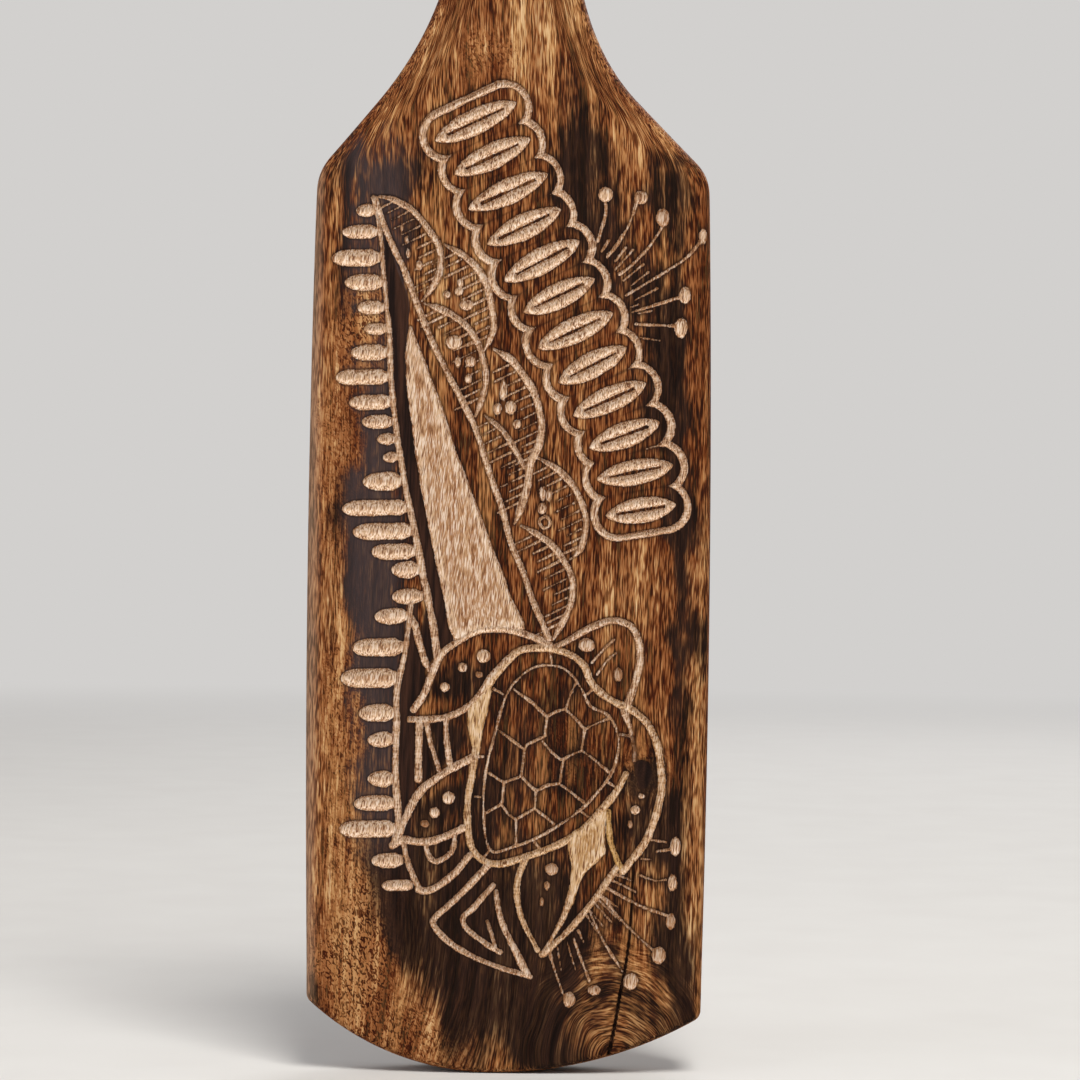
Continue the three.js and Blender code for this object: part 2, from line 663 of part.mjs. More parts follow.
function paddleBody() {
  let body = roundedPlank(bladeOutline(), bladeRoundover).subtract(boxSolid(
    new THREE.Vector3(-wide, -wide, gripJointHeight),
    new THREE.Vector3(wide, wide, gripTopHeight),
  ));
  body = body.add(tenonRoot).add(tenonInGrip);
  body = body.subtract(wedgeSolid(clearance, tenonThickness + 2 * cutMargin));
  body = body.subtract(pocketSolid());
  [-nailX, nailX].forEach((x) => {
    body = body.subtract(nailHole(x, nailShankRadius + clearance));
  });
  carvingSolids().forEach((cut) => {
    body = body.subtract(cut);
  });
  return meshOf('paddle_body', body, paddleWood);
}

function gripCrossbar() {
  const grip = gripBlock.subtract(tenonBar(clearance, gripJointHeight - cutMargin));
  return meshOf('grip_crossbar', grip, gripWood);
}

function tenonWedge() {
  return meshOf('tenon_wedge', wedgeSolid(0, tenonThickness).intersect(gripBlock), wedgeWood);
}

const paddle = new THREE.Group();
paddle.position.z = -hangerHeight;
paddle.add(
  paddleBody(),
  gripCrossbar(),
  tenonWedge(),
  meshOf('hanger_plate', hangerSolid(), hangerSteel),
  meshOf('hanger_nail_left', nailSolid(-nailX), nailSteel),
  meshOf('hanger_nail_right', nailSolid(nailX), nailSteel),
);

const root = new THREE.Group();
root.add(paddle);

export default root;
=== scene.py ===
"""Looks of a carved wooden paddle: the carved blade, neck and grip, the wall hanger and a plain studio.

Lengths in the classes are millimetres in the paddle's own drawing: x to the right, y back from
the carved face, z up from the blade's tip. The row frame has its origin at the wall hanger.
"""

import logging
import math
from dataclasses import dataclass
from enum import Enum

import bpy
import numpy as np
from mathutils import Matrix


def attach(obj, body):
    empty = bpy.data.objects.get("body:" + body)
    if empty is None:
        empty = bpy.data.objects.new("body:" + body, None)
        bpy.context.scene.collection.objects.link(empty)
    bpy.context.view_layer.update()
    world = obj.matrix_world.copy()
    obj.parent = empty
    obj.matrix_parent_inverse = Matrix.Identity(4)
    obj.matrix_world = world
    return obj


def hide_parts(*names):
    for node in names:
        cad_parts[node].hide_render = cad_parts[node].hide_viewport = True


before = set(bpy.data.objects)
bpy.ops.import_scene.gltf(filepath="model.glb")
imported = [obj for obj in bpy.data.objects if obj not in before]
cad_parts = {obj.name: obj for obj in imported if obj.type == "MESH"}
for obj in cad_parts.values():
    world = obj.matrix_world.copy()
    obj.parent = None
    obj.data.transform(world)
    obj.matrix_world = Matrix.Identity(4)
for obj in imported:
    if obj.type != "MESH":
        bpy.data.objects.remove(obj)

log = logging.getLogger("paddle")

MM = 0.001
HANGER_HEIGHT = 288.0
PLANK_THICKNESS = 18.0
PLANK_MIDDLE = -PLANK_THICKNESS / 2
SMOOTH_ANGLE = math.radians(38)
NOISE_TURNS = (127.1, 311.7, 74.7)
NOISE_SPREAD = 43758.5453

# What the fields "cut" and "ring" say where no cut and no ring is near.
UNCUT = -9.0
NO_RING = 99.0

Span = tuple[float, float]
Path = tuple[Span, ...]
Array = np.ndarray
Pair = tuple[Array, Array]
Object = bpy.types.Object
Material = bpy.types.Material


# Small mathematics


def smoothstep(low: float, high: float, value: Array) -> Array:
    """0 below low, 1 above high and 3t^2 - 2t^3 between them."""
    t = np.clip((value - low) / (high - low), 0.0, 1.0)
    return t * t * (3.0 - 2.0 * t)


def lattice_noise(x: Array, z: Array, seed: float) -> Array:
    """Smooth noise from 0 to 1.

    Each whole-number point has a value, the fraction of a large sine of its place, and the
    values of a cell's four corners are blended by 3t^2 - 2t^3 both ways.

    Args:
        x: First coordinate, in cells.
        z: Second coordinate, in cells.
        seed: Any number; another one gives another pattern.

    Returns:
        The noise at each point.
    """
    left, low = np.floor(x), np.floor(z)
    across, up = smoothstep(0, 1, x - left), smoothstep(0, 1, z - low)

    def corner(dx: int, dz: int) -> Array:
        """The value of one corner of the cell."""
        turn = (left + dx) * NOISE_TURNS[0] + (low + dz) * NOISE_TURNS[1] + seed * NOISE_TURNS[2]
        value = np.sin(turn) * NOISE_SPREAD
        return value - np.floor(value)

    bottom = corner(0, 0) * (1 - across) + corner(1, 0) * across
    top = corner(0, 1) * (1 - across) + corner(1, 1) * across
    return bottom * (1 - up) + top * up


def bezier(controls: Path, count: int) -> Array:
    """A Bezier curve: the sum of its control points, weighted by Bernstein terms.

    Args:
        controls: The control points.
        count: Number of points to give.

    Returns:
        The points, one in each row.
    """
    t = np.linspace(0, 1, count)[:, None]
    degree = len(controls) - 1
    points = np.zeros((count, 2))
    for i, control in enumerate(controls):
        points += math.comb(degree, i) * t**i * (1 - t) ** (degree - i) * np.array(control, float)
    return points


def smooth_path(path: Path, steps: int = 5, closed: bool = False) -> Array:
    """A Catmull-Rom curve through the points of a path.

    Each span is the cubic through its two points, with a slope at either of half the way
    from its neighbour before to its neighbour after.

    Args:
        path: The points it passes through.
        steps: Number of points for each span.
        closed: Whether the last point joins the first.

    Returns:
        The points, one in each row.
    """
    points = np.array(path, float)
    if closed:
        ends = np.concatenate([points[-1:], points, points[:2]])
    else:
        ends = np.concatenate([points[:1], points, points[-1:]])
    before, start, stop, after = ends[:-3], ends[1:-2], ends[2:-1], ends[3:]
    t = np.linspace(0, 1, steps, endpoint=False)[None, :, None]
    before, start, stop, after = (p[:, None, :] for p in (before, start, stop, after))
    curve = 0.5 * (
        2 * start
        + (stop - before) * t
        + (2 * before - 5 * start + 4 * stop - after) * t**2
        + (3 * start - before - 3 * stop + after) * t**3
    )
    curve = curve.reshape(-1, 2)
    return np.concatenate([curve, points[:1] if closed else points[-1:]])


def spans(points: Array) -> Array:
    """Length of each span between a curve's points."""
    return np.hypot(*np.diff(points, axis=0).T)


def walked(points: Array) -> Array:
    """How far along a curve each of its points lies: the sum of the spans before it."""
    return np.concatenate([[0], np.cumsum(spans(points))])


def read_off(place: Array | float, marks: Array, values: Array) -> Array:
    """Each column of some values, read off at one place or many between their rows' marks."""
    return np.stack([np.interp(place, marks, column) for column in values.T], axis=-1)


# Meshes


def mesh_piece(
    name: str,
    points: Array,
    quads: Array,
    polygons: list[Array],
    normals: Array | None = None,
) -> Object:
    """Puts a surface into a mesh object.

    Args:
        name: The piece's name.
        points: Its points in drawing millimetres, one in each row.
        quads: Its four-sided faces, one in each row.
        polygons: Its other faces, each a ring of point numbers. They stay flat.
        normals: The surface's direction at each point. Without it, the piece is shaded smooth
            up to sharp edges.

    Returns:
        The object.
    """
    mesh = bpy.data.meshes.new(name)
    placed = (points - np.array([0, 0, HANGER_HEIGHT])) * MM
    corners = np.concatenate([quads.ravel(), *polygons]).astype(np.int32)
    sizes = np.array([4] * len(quads) + [len(p) for p in polygons])
    mesh.vertices.add(len(points))
    mesh.vertices.foreach_set("co", placed.ravel())
    mesh.loops.add(len(corners))
    mesh.loops.foreach_set("vertex_index", corners)
    mesh.polygons.add(len(sizes))
    mesh.polygons.foreach_set("loop_start", np.concatenate([[0], np.cumsum(sizes)[:-1]]))
    mesh.polygons.foreach_set("use_smooth", np.ones(len(sizes), bool))
    mesh.update(calc_edges=True)
    mesh.validate()
    if normals is None:
        mesh.set_sharp_from_angle(angle=SMOOTH_ANGLE)
    else:
        flat = np.zeros(len(sizes) * 3)
        mesh.polygons.foreach_get("normal", flat)
        flat = np.repeat(flat.reshape(-1, 3), sizes, axis=0)
        at_corners = normals[corners]
        at_corners[4 * len(quads) :] = flat[4 * len(quads) :]
        mesh.normals_split_custom_set(at_corners.astype(np.float32))
    piece = bpy.data.objects.new(name, mesh)
    bpy.context.scene.collection.objects.link(piece)
    return piece


def box_points(x: Span, y: Span, z: Span) -> Pair:
    """A box that spans three ranges.

    Args:
        x: Its range to the right.
        y: Its range back.
        z: Its range up.

    Returns:
        The corners, one in each row, and the faces, outward, as rows of point numbers.
    """
    up, back, right = np.meshgrid(z, y, x, indexing="ij")
    points = np.stack([right, back, up], axis=-1).reshape(-1, 3).astype(float)
    faces = np.array(
        [[0, 2, 3, 1], [4, 5, 7, 6], [0, 1, 5, 4], [2, 6, 7, 3], [0, 4, 6, 2], [1, 3, 7, 5]]
    )
    return points, faces


def quads_between(low: Array, high: Array) -> Array:
    """Faces between rows of point numbers and the rows after them, counter-clockwise."""
    return np.stack([low[:, :-1], low[:, 1:], high[:, 1:], high[:, :-1]], axis=-1).reshape(-1, 4)


def ring_faces(rings: int, count: int) -> Pair:
    """Numbers of points stored ring by ring, and the faces between each ring and the next.

    Args:
        rings: Number of rings.
        count: Number of points on each.

    Returns:
        The numbers, a ring in each row, and the faces, one in each row.
    """
    number = np.arange(rings * count).reshape(rings, count)
    after = np.roll(number, -1, axis=1)
    quads = np.stack([number[:-1], number[1:], after[1:], after[:-1]], axis=-1)
    return number, quads.reshape(-1, 4)


def ringed_piece(name: str, points: Array) -> Object:
    """A closed solid from rings of points, one in each row, with a flat face on either end."""
    number, quads = ring_faces(*points.shape[:2])
    return mesh_piece(name, points.reshape(-1, 3), quads, [number[0], number[-1][::-1]])


def turned(radius: Array, height: Array, turns: int) -> tuple[Array, Array, Array]:
    """A profile turned about an axis.

    Args:
        radius: How far each point of the profile lies from the axis.
        height: How far along the axis it lies.
        turns: Number of points on a whole turn.

    Returns:
        Two coordinates across the axis and one along it, a ring in each row.
    """
    angle = np.linspace(0, 2 * math.pi, turns, endpoint=False)
    along = np.broadcast_to(height[:, None], (len(radius), turns))
    return radius[:, None] * np.cos(angle), radius[:, None] * np.sin(angle), along


class Boolean(Enum):
    """What a tool solid does to a piece."""

    REMOVE = "DIFFERENCE"
    KEEP_WITHIN = "INTERSECT"


def cut_with(piece: Object, tool: Object, operation: Boolean) -> None:
    """Cuts a piece with a tool solid and removes the tool.

    Args:
        piece: The piece.
        tool: The solid.
        operation: What the tool does.
    """
    modifier = piece.modifiers.new("cut", "BOOLEAN")
    modifier.object = tool
    modifier.operation = operation.value
    modifier.solver = "EXACT"
    bpy.context.view_layer.update()
    evaluated = piece.evaluated_get(bpy.context.evaluated_depsgraph_get())
    made = bpy.data.meshes.new_from_object(evaluated)
    piece.modifiers.remove(modifier)
    piece.data = made
    bpy.data.objects.remove(tool)


# The plank's outline

ARC_POINTS = 120


@dataclass(frozen=True)
class Edge:
    """A stretch of the plank's outline: its points and the directions square to it."""

    points: Array
    normals: Array

    def joined(self, other: "Edge") -> "Edge":
        """This stretch and the next one, without the point that they share."""
        return Edge(
            np.concatenate([self.points, other.points[1:]]),
            np.concatenate([self.normals, other.normals[1:]]),
        )

    def mirrored(self) -> "Edge":
        """The same stretch on the other side of the middle line."""
        flip = np.array([-1.0, 1.0])
        return Edge(self.points * flip, self.normals * flip)

    def reversed(self) -> "Edge":
        """The same stretch, walked the other way."""
        return Edge(self.points[::-1], self.normals[::-1])

    def resampled(self, count: int) -> "Edge":
        """Points at equal distances along the stretch.

        Args:
            count: Number of points to give.

        Returns:
            The new stretch.
        """
        along = walked(self.points)
        wanted = np.linspace(0, along[-1], count)
        normals = read_off(wanted, along, self.normals)
        normals /= np.linalg.norm(normals, axis=1, keepdims=True)
        return Edge(read_off(wanted, along, self.points), normals)


def arc_edge(centre: Span, radius: float, start: float, stop: float) -> Edge:
    """A round stretch: the centre plus the radius along each direction from start to stop.

    Args:
        centre: Its centre.
        radius: Its radius.
        start: The first direction's angle.
        stop: The last direction's angle.

    Returns:
        The stretch.
    """
    angle = np.linspace(start, stop, ARC_POINTS)
    out = np.stack([np.cos(angle), np.sin(angle)], axis=1)
    return Edge(np.array(centre) + radius * out, out)


def curve_edge(points: Array) -> Edge:
    """A stretch through points that go up the right side: a quarter turn right of the way is out.

    Args:
        points: The points, from low to high.

    Returns:
        The stretch.
    """
    along = np.gradient(points, axis=0)
    along /= np.linalg.norm(along, axis=1, keepdims=True)
    return Edge(points, np.stack([along[:, 1], -along[:, 0]], axis=1))


@dataclass(frozen=True)
class Side:
    """One side of the hand-cut blade, drawn as if it were the right one."""

    sign: int
    foot_arc_radius: float
    slope_top: tuple[float, float]
    neck_reach: float


@dataclass(frozen=True)
class Outline:
    """The plank's front outline, with the sizes that the solid model has."""

    left: Side = Side(-1, 81.0, (41.5, 291.7), 26.0)
    right: Side = Side(1, 124.0, (37.4, 292.7), 24.0)
    tip_offset: float = -4.0
    foot_half_width: float = 59.28
    foot_corner_radius: float = 3.6
    side_bulge: float = 1.4
    shoulder: Span = (59.18, 270.4)
    shoulder_rounding: float = 6.0
    shaft_half_width: float = 16.0
    shaft_start: float = 372.0
    shaft_reach: float = 37.0
    shaft_top: float = 462.0
    foot_roundover: float = 2.0
    side_roundover: float = 3.5
    neck_roundover: float = 6.5
    shaft_roundover: float = 7.5
    foot_blend: float = 16.0
    shoulder_blend: float = 15.0
    neck_blend: Span = (300.0, 345.0)
    side_counts: tuple[int, ...] = (300, 60, 60, 200, 60)

    def corner(self, side: Side) -> tuple[float, float, float]:
        """Where a foot corner's round lies.

        Args:
            side: The side it is on.

        Returns:
            Its centre, as a right side, and the angle at which it meets the foot's arc.
        """
        radius = self.foot_corner_radius
        x = self.foot_half_width - radius
        across = x - side.sign * self.tip_offset
        z = side.foot_arc_radius - math.sqrt((side.foot_arc_radius - radius) ** 2 - across**2)
        return x, z, math.atan2(z - side.foot_arc_radius, across)

    def half_foot(self, side: Side) -> Edge:
        """The foot from its tip to the middle of one corner.

        Args:
            side: The corner's side.

        Returns:
            The stretch, as a right side.
        """
        x, z, meet = self.corner(side)
        centre = (side.sign * self.tip_offset, side.foot_arc_radius)
        foot = arc_edge(centre, side.foot_arc_radius, -math.pi / 2, meet)
        return foot.joined(arc_edge((x, z), self.foot_corner_radius, meet, meet / 2))

    def foot(self) -> Edge:
        """The foot from the left corner's middle to the right one's."""
        left = self.half_foot(self.left).mirrored().reversed()
        return left.joined(self.half_foot(self.right))

    def side(self, side: Side) -> Edge:
        """One side from the middle of its foot corner up to the shaft's top.

        Args:
            side: Which side.

        Returns:
            The stretch, as a right side.
        """
        x, z, meet = self.corner(side)
        corner = np.array(self.shoulder)
        slope_top = np.array(side.slope_top)
        slope = (slope_top - corner) / np.linalg.norm(slope_top - corner)
        below = corner - np.array([0, self.shoulder_rounding])
        above = corner + slope * self.shoulder_rounding
        bulge = (corner[0] + 2 * self.side_bulge, (z + corner[1]) / 2)
        neck_high = (self.shaft_half_width, self.shaft_start - self.shaft_reach)
        shaft = (self.shaft_half_width, self.shaft_start)
        end = (self.shaft_half_width, self.shaft_top)
        stretches = (
            ((self.foot_half_width, z), bulge, below),
            (below, corner, above),
            (above, slope_top),
            (slope_top, slope_top + slope * side.neck_reach, neck_high, shaft),
            (shaft, end),
        )
        edge = arc_edge((x, z), self.foot_corner_radius, meet / 2, 0)
        for controls, count in zip(stretches, self.side_counts):
            edge = edge.joined(curve_edge(bezier(controls, count)))
        return edge

    def roundover(self, height: Array) -> Array:
        """Radius of the rounded long edges: small at the foot, wide on neck and shaft.

        Args:
            height: Heights on the outline.

        Returns:
            The radius at each.
        """
        foot_top = self.corner(self.right)[1]
        shoulder_start = self.shoulder[1] - self.shoulder_blend
        shoulder_end = shoulder_start + 2 * self.shoulder_blend
        radius = self.foot_roundover
        for rise, low, high in (
            (self.side_roundover - self.foot_roundover, foot_top, foot_top + self.foot_blend),
            (self.neck_roundover - self.side_roundover, shoulder_start, shoulder_end),
            (self.shaft_roundover - self.neck_roundover, *self.neck_blend),
        ):
            radius = radius + rise * smoothstep(low, high, height)
        return radius


def rounded(edge: Edge, radius: Array | float, steps: int) -> Pair:
    """Rings round the plank's edge, from its front to its back.

    Each ring is the outline moved inward by r(1 - cos a) and forward or back by
    t/2 - r + r sin a from the plank's middle, where r is the radius and a the ring's angle.

    Args:
        edge: The outline.
        radius: Radius of the rounding, at each point or everywhere.
        steps: Number of steps on each quarter circle.

    Returns:
        The points and the directions of the surface, a ring in each row.
    """
    down, up = np.linspace(math.pi / 2, 0, steps + 1), np.linspace(0, math.pi / 2, steps + 1)
    angle = np.concatenate([down, up])[:, None]
    face = np.repeat([-1.0, 1.0], steps + 1)[:, None]
    inset = radius * (1 - np.cos(angle))
    x = edge.points[:, 0] - edge.normals[:, 0] * inset
    z = edge.points[:, 1] - edge.normals[:, 1] * inset
    y = PLANK_MIDDLE + face * (PLANK_THICKNESS / 2 - radius + radius * np.sin(angle))
    y, facing = np.broadcast_to(y, x.shape), np.broadcast_to(face * np.sin(angle), x.shape)
    out_x, out_z = edge.normals[:, 0] * np.cos(angle), edge.normals[:, 1] * np.cos(angle)
    return np.stack([x, y, z], axis=-1), np.stack([out_x, facing, out_z], axis=-1)


class Shell:
    """The skin of a stretch of plank: a grid on the front and rings round its edge to the back.

    The grid's rows go up and its columns go right. Each ring walks down the left side, along
    the foot where there is one, and up the right side. Ring 0 is the grid's own border.
    """

    RING_STEPS = 6

    def __init__(self, outline: Outline, rows: Array, columns: int, foot_rows: int = 0) -> None:
        """Works out the bare surface.

        The front is the straight blend of its left and right border. Between the foot and the
        first straight row it is a Coons patch.

        Args:
            outline: The plank's outline.
            rows: Heights of the straight rows.
            columns: Number of columns of faces on the front.
            foot_rows: Number of rows of faces below the first straight row, 0 without a foot.
        """
        self.outline = outline
        self.foot_rows = foot_rows
        self.columns = columns
        self.rows = foot_rows + len(rows) - 1
        left, left_out = self._side(outline.left, rows)
        right, right_out = self._side(outline.right, rows)
        share = np.linspace(0, 1, columns + 1)[None, :, None]
        self.grid = left[0][:, None, :] * (1 - share) + right[0][:, None, :] * share
        foot = foot_out = left[:, :0]
        if foot_rows:
            foot, foot_out = self._foot()
            self._fill_foot(foot[0])
            foot, foot_out = foot[:, 1:-1], foot_out[:, 1:-1]
        self.ring_points = np.concatenate([left[:, ::-1], foot, right], axis=1)[1:]
        self.ring_normals = np.concatenate([left_out[:, ::-1], foot_out, right_out], axis=1)[1:]
        self.grid_normals = np.broadcast_to([0.0, -1.0, 0.0], self.grid.shape)
        self.foot_points = foot.shape[1]

    def _ringed(self, edge: Edge) -> Pair:
        """Every ring's points and normals along a stretch of outline."""
        return rounded(edge, self.outline.roundover(edge.points[:, 1]), self.RING_STEPS)

    def _side(self, side: Side, rows: Array) -> Pair:
        """Every ring's points and normals up one side, with each straight row level.

        Args:
            side: Which side.
            rows: Heights of the straight rows.

        Returns:
            The points and the normals, a ring in each row.
        """
        points, out = self._ringed(self.outline.side(side))
        steps = np.arange(points.shape[1])
        heights = np.tile(rows, (len(points), 1))
        if self.foot_rows:
            share = np.linspace(0, 1, self.foot_rows, endpoint=False)
            inner = points[0, 0, 2] * (1 - share) + rows[0] * share
            place = np.interp(inner, points[0, :, 2], steps)
            square = np.stack([np.interp(place, steps, ring[:, 2]) for ring in points])
            heights = np.concatenate([square * (1 - share) + inner * share, heights], axis=1)
        made, made_out = [], []
        for height, ring, ring_out in zip(heights, points, out):
            place = np.interp(height, ring[:, 2], steps)
            made.append(read_off(place, steps, ring))
            made_out.append(read_off(place, steps, ring_out))
        flip = np.array([side.sign, 1.0, 1.0])
        return np.array(made) * flip, np.array(made_out) * flip

    def _foot(self) -> Pair:
        """Every ring's points and normals along the foot, a point for each column."""
        return self._ringed(self.outline.foot().resampled(self.columns + 1))

    def _fill_foot(self, bottom: Array) -> None:
        """Fills the rows below the first straight one.

        A Coons patch: the blend of foot and straight row, plus the blend of how far the two
        sides leave the straight lines between their ends.

        Args:
            bottom: The foot's points, one for each column.
        """
        n = self.foot_rows
        up = np.linspace(0, 1, n + 1)[:, None, None]
        across = np.linspace(0, 1, self.columns + 1)[None, :, None]
        left, right = self.grid[: n + 1, :1].copy(), self.grid[: n + 1, -1:].copy()
        top = self.grid[n][None]
        patch = bottom[None] * (1 - up) + top * up
        patch += (left - left[:1] * (1 - up) - left[-1:] * up) * (1 - across)
        patch += (right - right[:1] * (1 - up) - right[-1:] * up) * across
        self.grid[: n + 1] = patch

    def press(self, grid_depth: Array, ring_depth: Array) -> None:
        """Moves the surface inward by a depth at each point and finds the grid's new normals.

        Args:
            grid_depth: Depth at each point of the grid.
            ring_depth: Depth at each point of the rings.
        """
        self.grid = self.grid + np.array([0.0, 1.0, 0.0]) * grid_depth[..., None]
        self.ring_points = self.ring_points - self.ring_normals * ring_depth[..., None]
        right = np.gradient(self.grid, axis=1)
        up = np.gradient(self.grid, axis=0)
        normals = np.cross(right, up)
        self.grid_normals = normals / np.linalg.norm(normals, axis=2, keepdims=True)

    def _left(self, row: int) -> int:
        """Where the ring passes a row on the left side."""
        return self.rows - row

    def _right(self, row: int) -> int:
        """Where the ring passes a row on the right side."""
        return self.rows + 1 + self.foot_points + row

    def piece(
        self,
        name: str,
        low: int,
        high: int,
        fields: dict[str, Pair] | None = None,
        pocket: "Pocket | None" = None,
    ) -> Object:
        """Makes the closed solid between two rows.

        Args:
            name: The piece's name.
            low: The row it starts on.
            high: The row it ends on.
            fields: Attributes by name, on the grid's and the rings' points.
            pocket: The recess in its back, if any.

        Returns:
            The object.
        """
        width = self.columns + 1
        grid = np.arange(self.grid.shape[0] * width).reshape(-1, width)
        around = self.ring_points.shape[1]
        ring = grid.size + np.arange(self.ring_points.shape[0] * around).reshape(-1, around)
        foot = grid[0, 1:-1] if self.foot_points else grid[0, :0]
        inner = np.concatenate([grid[::-1, 0], foot, grid[:, -1]])
        ring = np.concatenate([inner[None], ring])
        left, right = self._left, self._right
        whole = low == 0 and self.foot_points > 0
        if whole:
            stretches = [slice(left(high), right(high) + 1)]
        else:
            stretches = [slice(left(high), left(low) + 1), slice(right(low), right(high) + 1)]
        bands = [ring[:, stretch] for stretch in stretches]
        faces = [quads_between(grid[low:high], grid[low + 1 : high + 1])]
        faces += [quads_between(band[1:], band[:-1]) for band in bands]
        quads = np.concatenate(faces)

        def rim(row: int) -> Array:
            """The section's border at a row, from back left over the front to back right."""
            return np.concatenate([ring[:0:-1, left(row)], grid[row], ring[1:, right(row)]])

        back = ring[-1]
        polygons = [rim(high)]
        if not whole:
            polygons.append(rim(low)[::-1])
        points = np.concatenate([self.grid.reshape(-1, 3), self.ring_points.reshape(-1, 3)])
        normals = np.concatenate([self.grid_normals.reshape(-1, 3), self.ring_normals.reshape(-1, 3)])
        if pocket is None:
            polygons.append(np.concatenate([back[stretch] for stretch in stretches])[::-1])
        else:
            straight = self.ring_points[-1, self.rows + 1 + self.foot_points :, 2]
            row = int(np.argmin(abs(straight - pocket.centre)))
            slot, walls, floor = pocket.mesh(len(points))
            half = len(slot) // 2
            below = [back[left(row) : left(low) + 1], back[right(low) : right(row) + 1]]
            above = [back[right(row) : right(high) + 1], back[left(high) : left(row) + 1]]
            first = len(points) + np.arange(len(slot))
            polygons.append(np.concatenate([*below, first[: half + 1]])[::-1])
            polygons.append(np.concatenate([*above, first[half:], first[:1]])[::-1])
            polygons.append(floor)
            quads = np.concatenate([quads, walls])
            points = np.concatenate([points, slot, slot - np.array([0, pocket.depth, 0])])
            normals = np.concatenate([normals, pocket.normals(), pocket.normals()])
        used = np.unique(np.concatenate([quads.ravel(), *polygons]))
        number = np.zeros(len(points), int)
        number[used] = np.arange(len(used))
        polygons = [number[polygon] for polygon in polygons]
        piece = mesh_piece(name, points[used], number[quads], polygons, normals[used])
        for key, (on_grid, on_rings) in (fields or {}).items():
            values = np.concatenate([on_grid.ravel(), on_rings.ravel()])
            extra = np.full(len(points) - len(values), values[ring[-1, 0]])
            if key == "grain":
                extra = points[len(values) :, 0]
            values = np.concatenate([values, extra])[used]
            attribute = piece.data.attributes.new(key, "FLOAT", "POINT")
            attribute.data.foreach_set("value", values.astype(np.float32))
        return piece


@dataclass(frozen=True)
class Pocket:
    """The slot in the back that takes the wall hanger."""

    half_width: float = 25.0
    radius: float = 9.0
    centre: float = 289.5
    depth: float = 3.5
    arc_points: int = 32

    def rim(self) -> Pair:
        """The slot's outline, from its right end under to the left and over the top back.

        It is two half circles and the straight lines between them.

        Returns:
            The points and the outward directions, one in each row.
        """
        angle = np.linspace(0, 2 * math.pi, 4 * self.arc_points, endpoint=False)
        angle = np.roll(angle[::-1], 1)
        out = np.stack([np.cos(angle), np.zeros_like(angle), np.sin(angle)], axis=1)
        reach = self.half_width - self.radius
        shift = np.sign(np.round(out[:, :1], 9)) * reach
        points = out * self.radius + np.concatenate([shift, np.zeros((len(angle), 2))], axis=1)
        return points + np.array([0, 0, self.centre]), out

    def normals(self) -> Array:
        """The walls face the middle of the slot."""
        return -self.rim()[1]

    def mesh(self, start: int) -> tuple[Array, Array, Array]:
        """The slot's rim, walls and floor.

        Args:
            start: The number of its first point.

        Returns:
            The rim's points, the walls' faces, and the floor as a ring of point numbers.
        """
        rim = self.rim()[0]
        count = len(rim)
        here = np.arange(count)
        after = (here + 1) % count
        walls = np.stack([here, here + count, after + count, after], axis=1) + start
        floor = start + count + here
        return rim, walls, floor


# The carving


@dataclass(frozen=True)
class Line:
    """A gouge line: the points it runs through, its width at either end, and how its tips taper."""

    path: Path
    width: float
    end_width: float = 0.0
    depth: float = 1.05
    closed: bool = False
    straight: bool = False
    tint: float = 0.0
    tone: float = 1.0
    taper: float = 0.0


@dataclass(frozen=True)
class Dot:
    """An oval gouge mark: its middle and its half width and half height."""

    x: float
    z: float
    across: float
    up: float
    tone: float = 1.0


@dataclass(frozen=True)
class Patch:
    """A larger area that is cut away to one depth."""

    border: Path
    depth: float = 0.8
    tint: float = 0.0
    tone: float = 1.0


@dataclass(frozen=True)
class Shade:
    """A soft oval where a tone of the wood is stronger, or weaker where its strength is negative."""

    x: float
    z: float
    across: float
    up: float
    strength: float


@dataclass(frozen=True)
class Rings:
    """Growth rings that a low branch left about a point, seen as arches."""

    x: float = 33.5
    z: float = 4.0
    stretch: float = 1.2
    wave: float = 2.4
    wave_size: float = 8.0

    def radius(self, x: Array, z: Array) -> Array:
        """Distance from the middle, with heights shrunk by the stretch, plus a slow wave."""
        wave = self.wave * lattice_noise(x / self.wave_size, z / self.wave_size, 9)
        return np.hypot(x - self.x, (z - self.z) / self.stretch) + wave


def dots(*rows: tuple[float, ...]) -> tuple[Dot, ...]:
    """Gouge marks, from rows of their values."""
    return tuple(Dot(*row) for row in rows)


def shades(*rows: tuple[float, ...]) -> tuple[Shade, ...]:
    """Soft ovals, from rows of their values."""
    return tuple(Shade(*row) for row in rows)


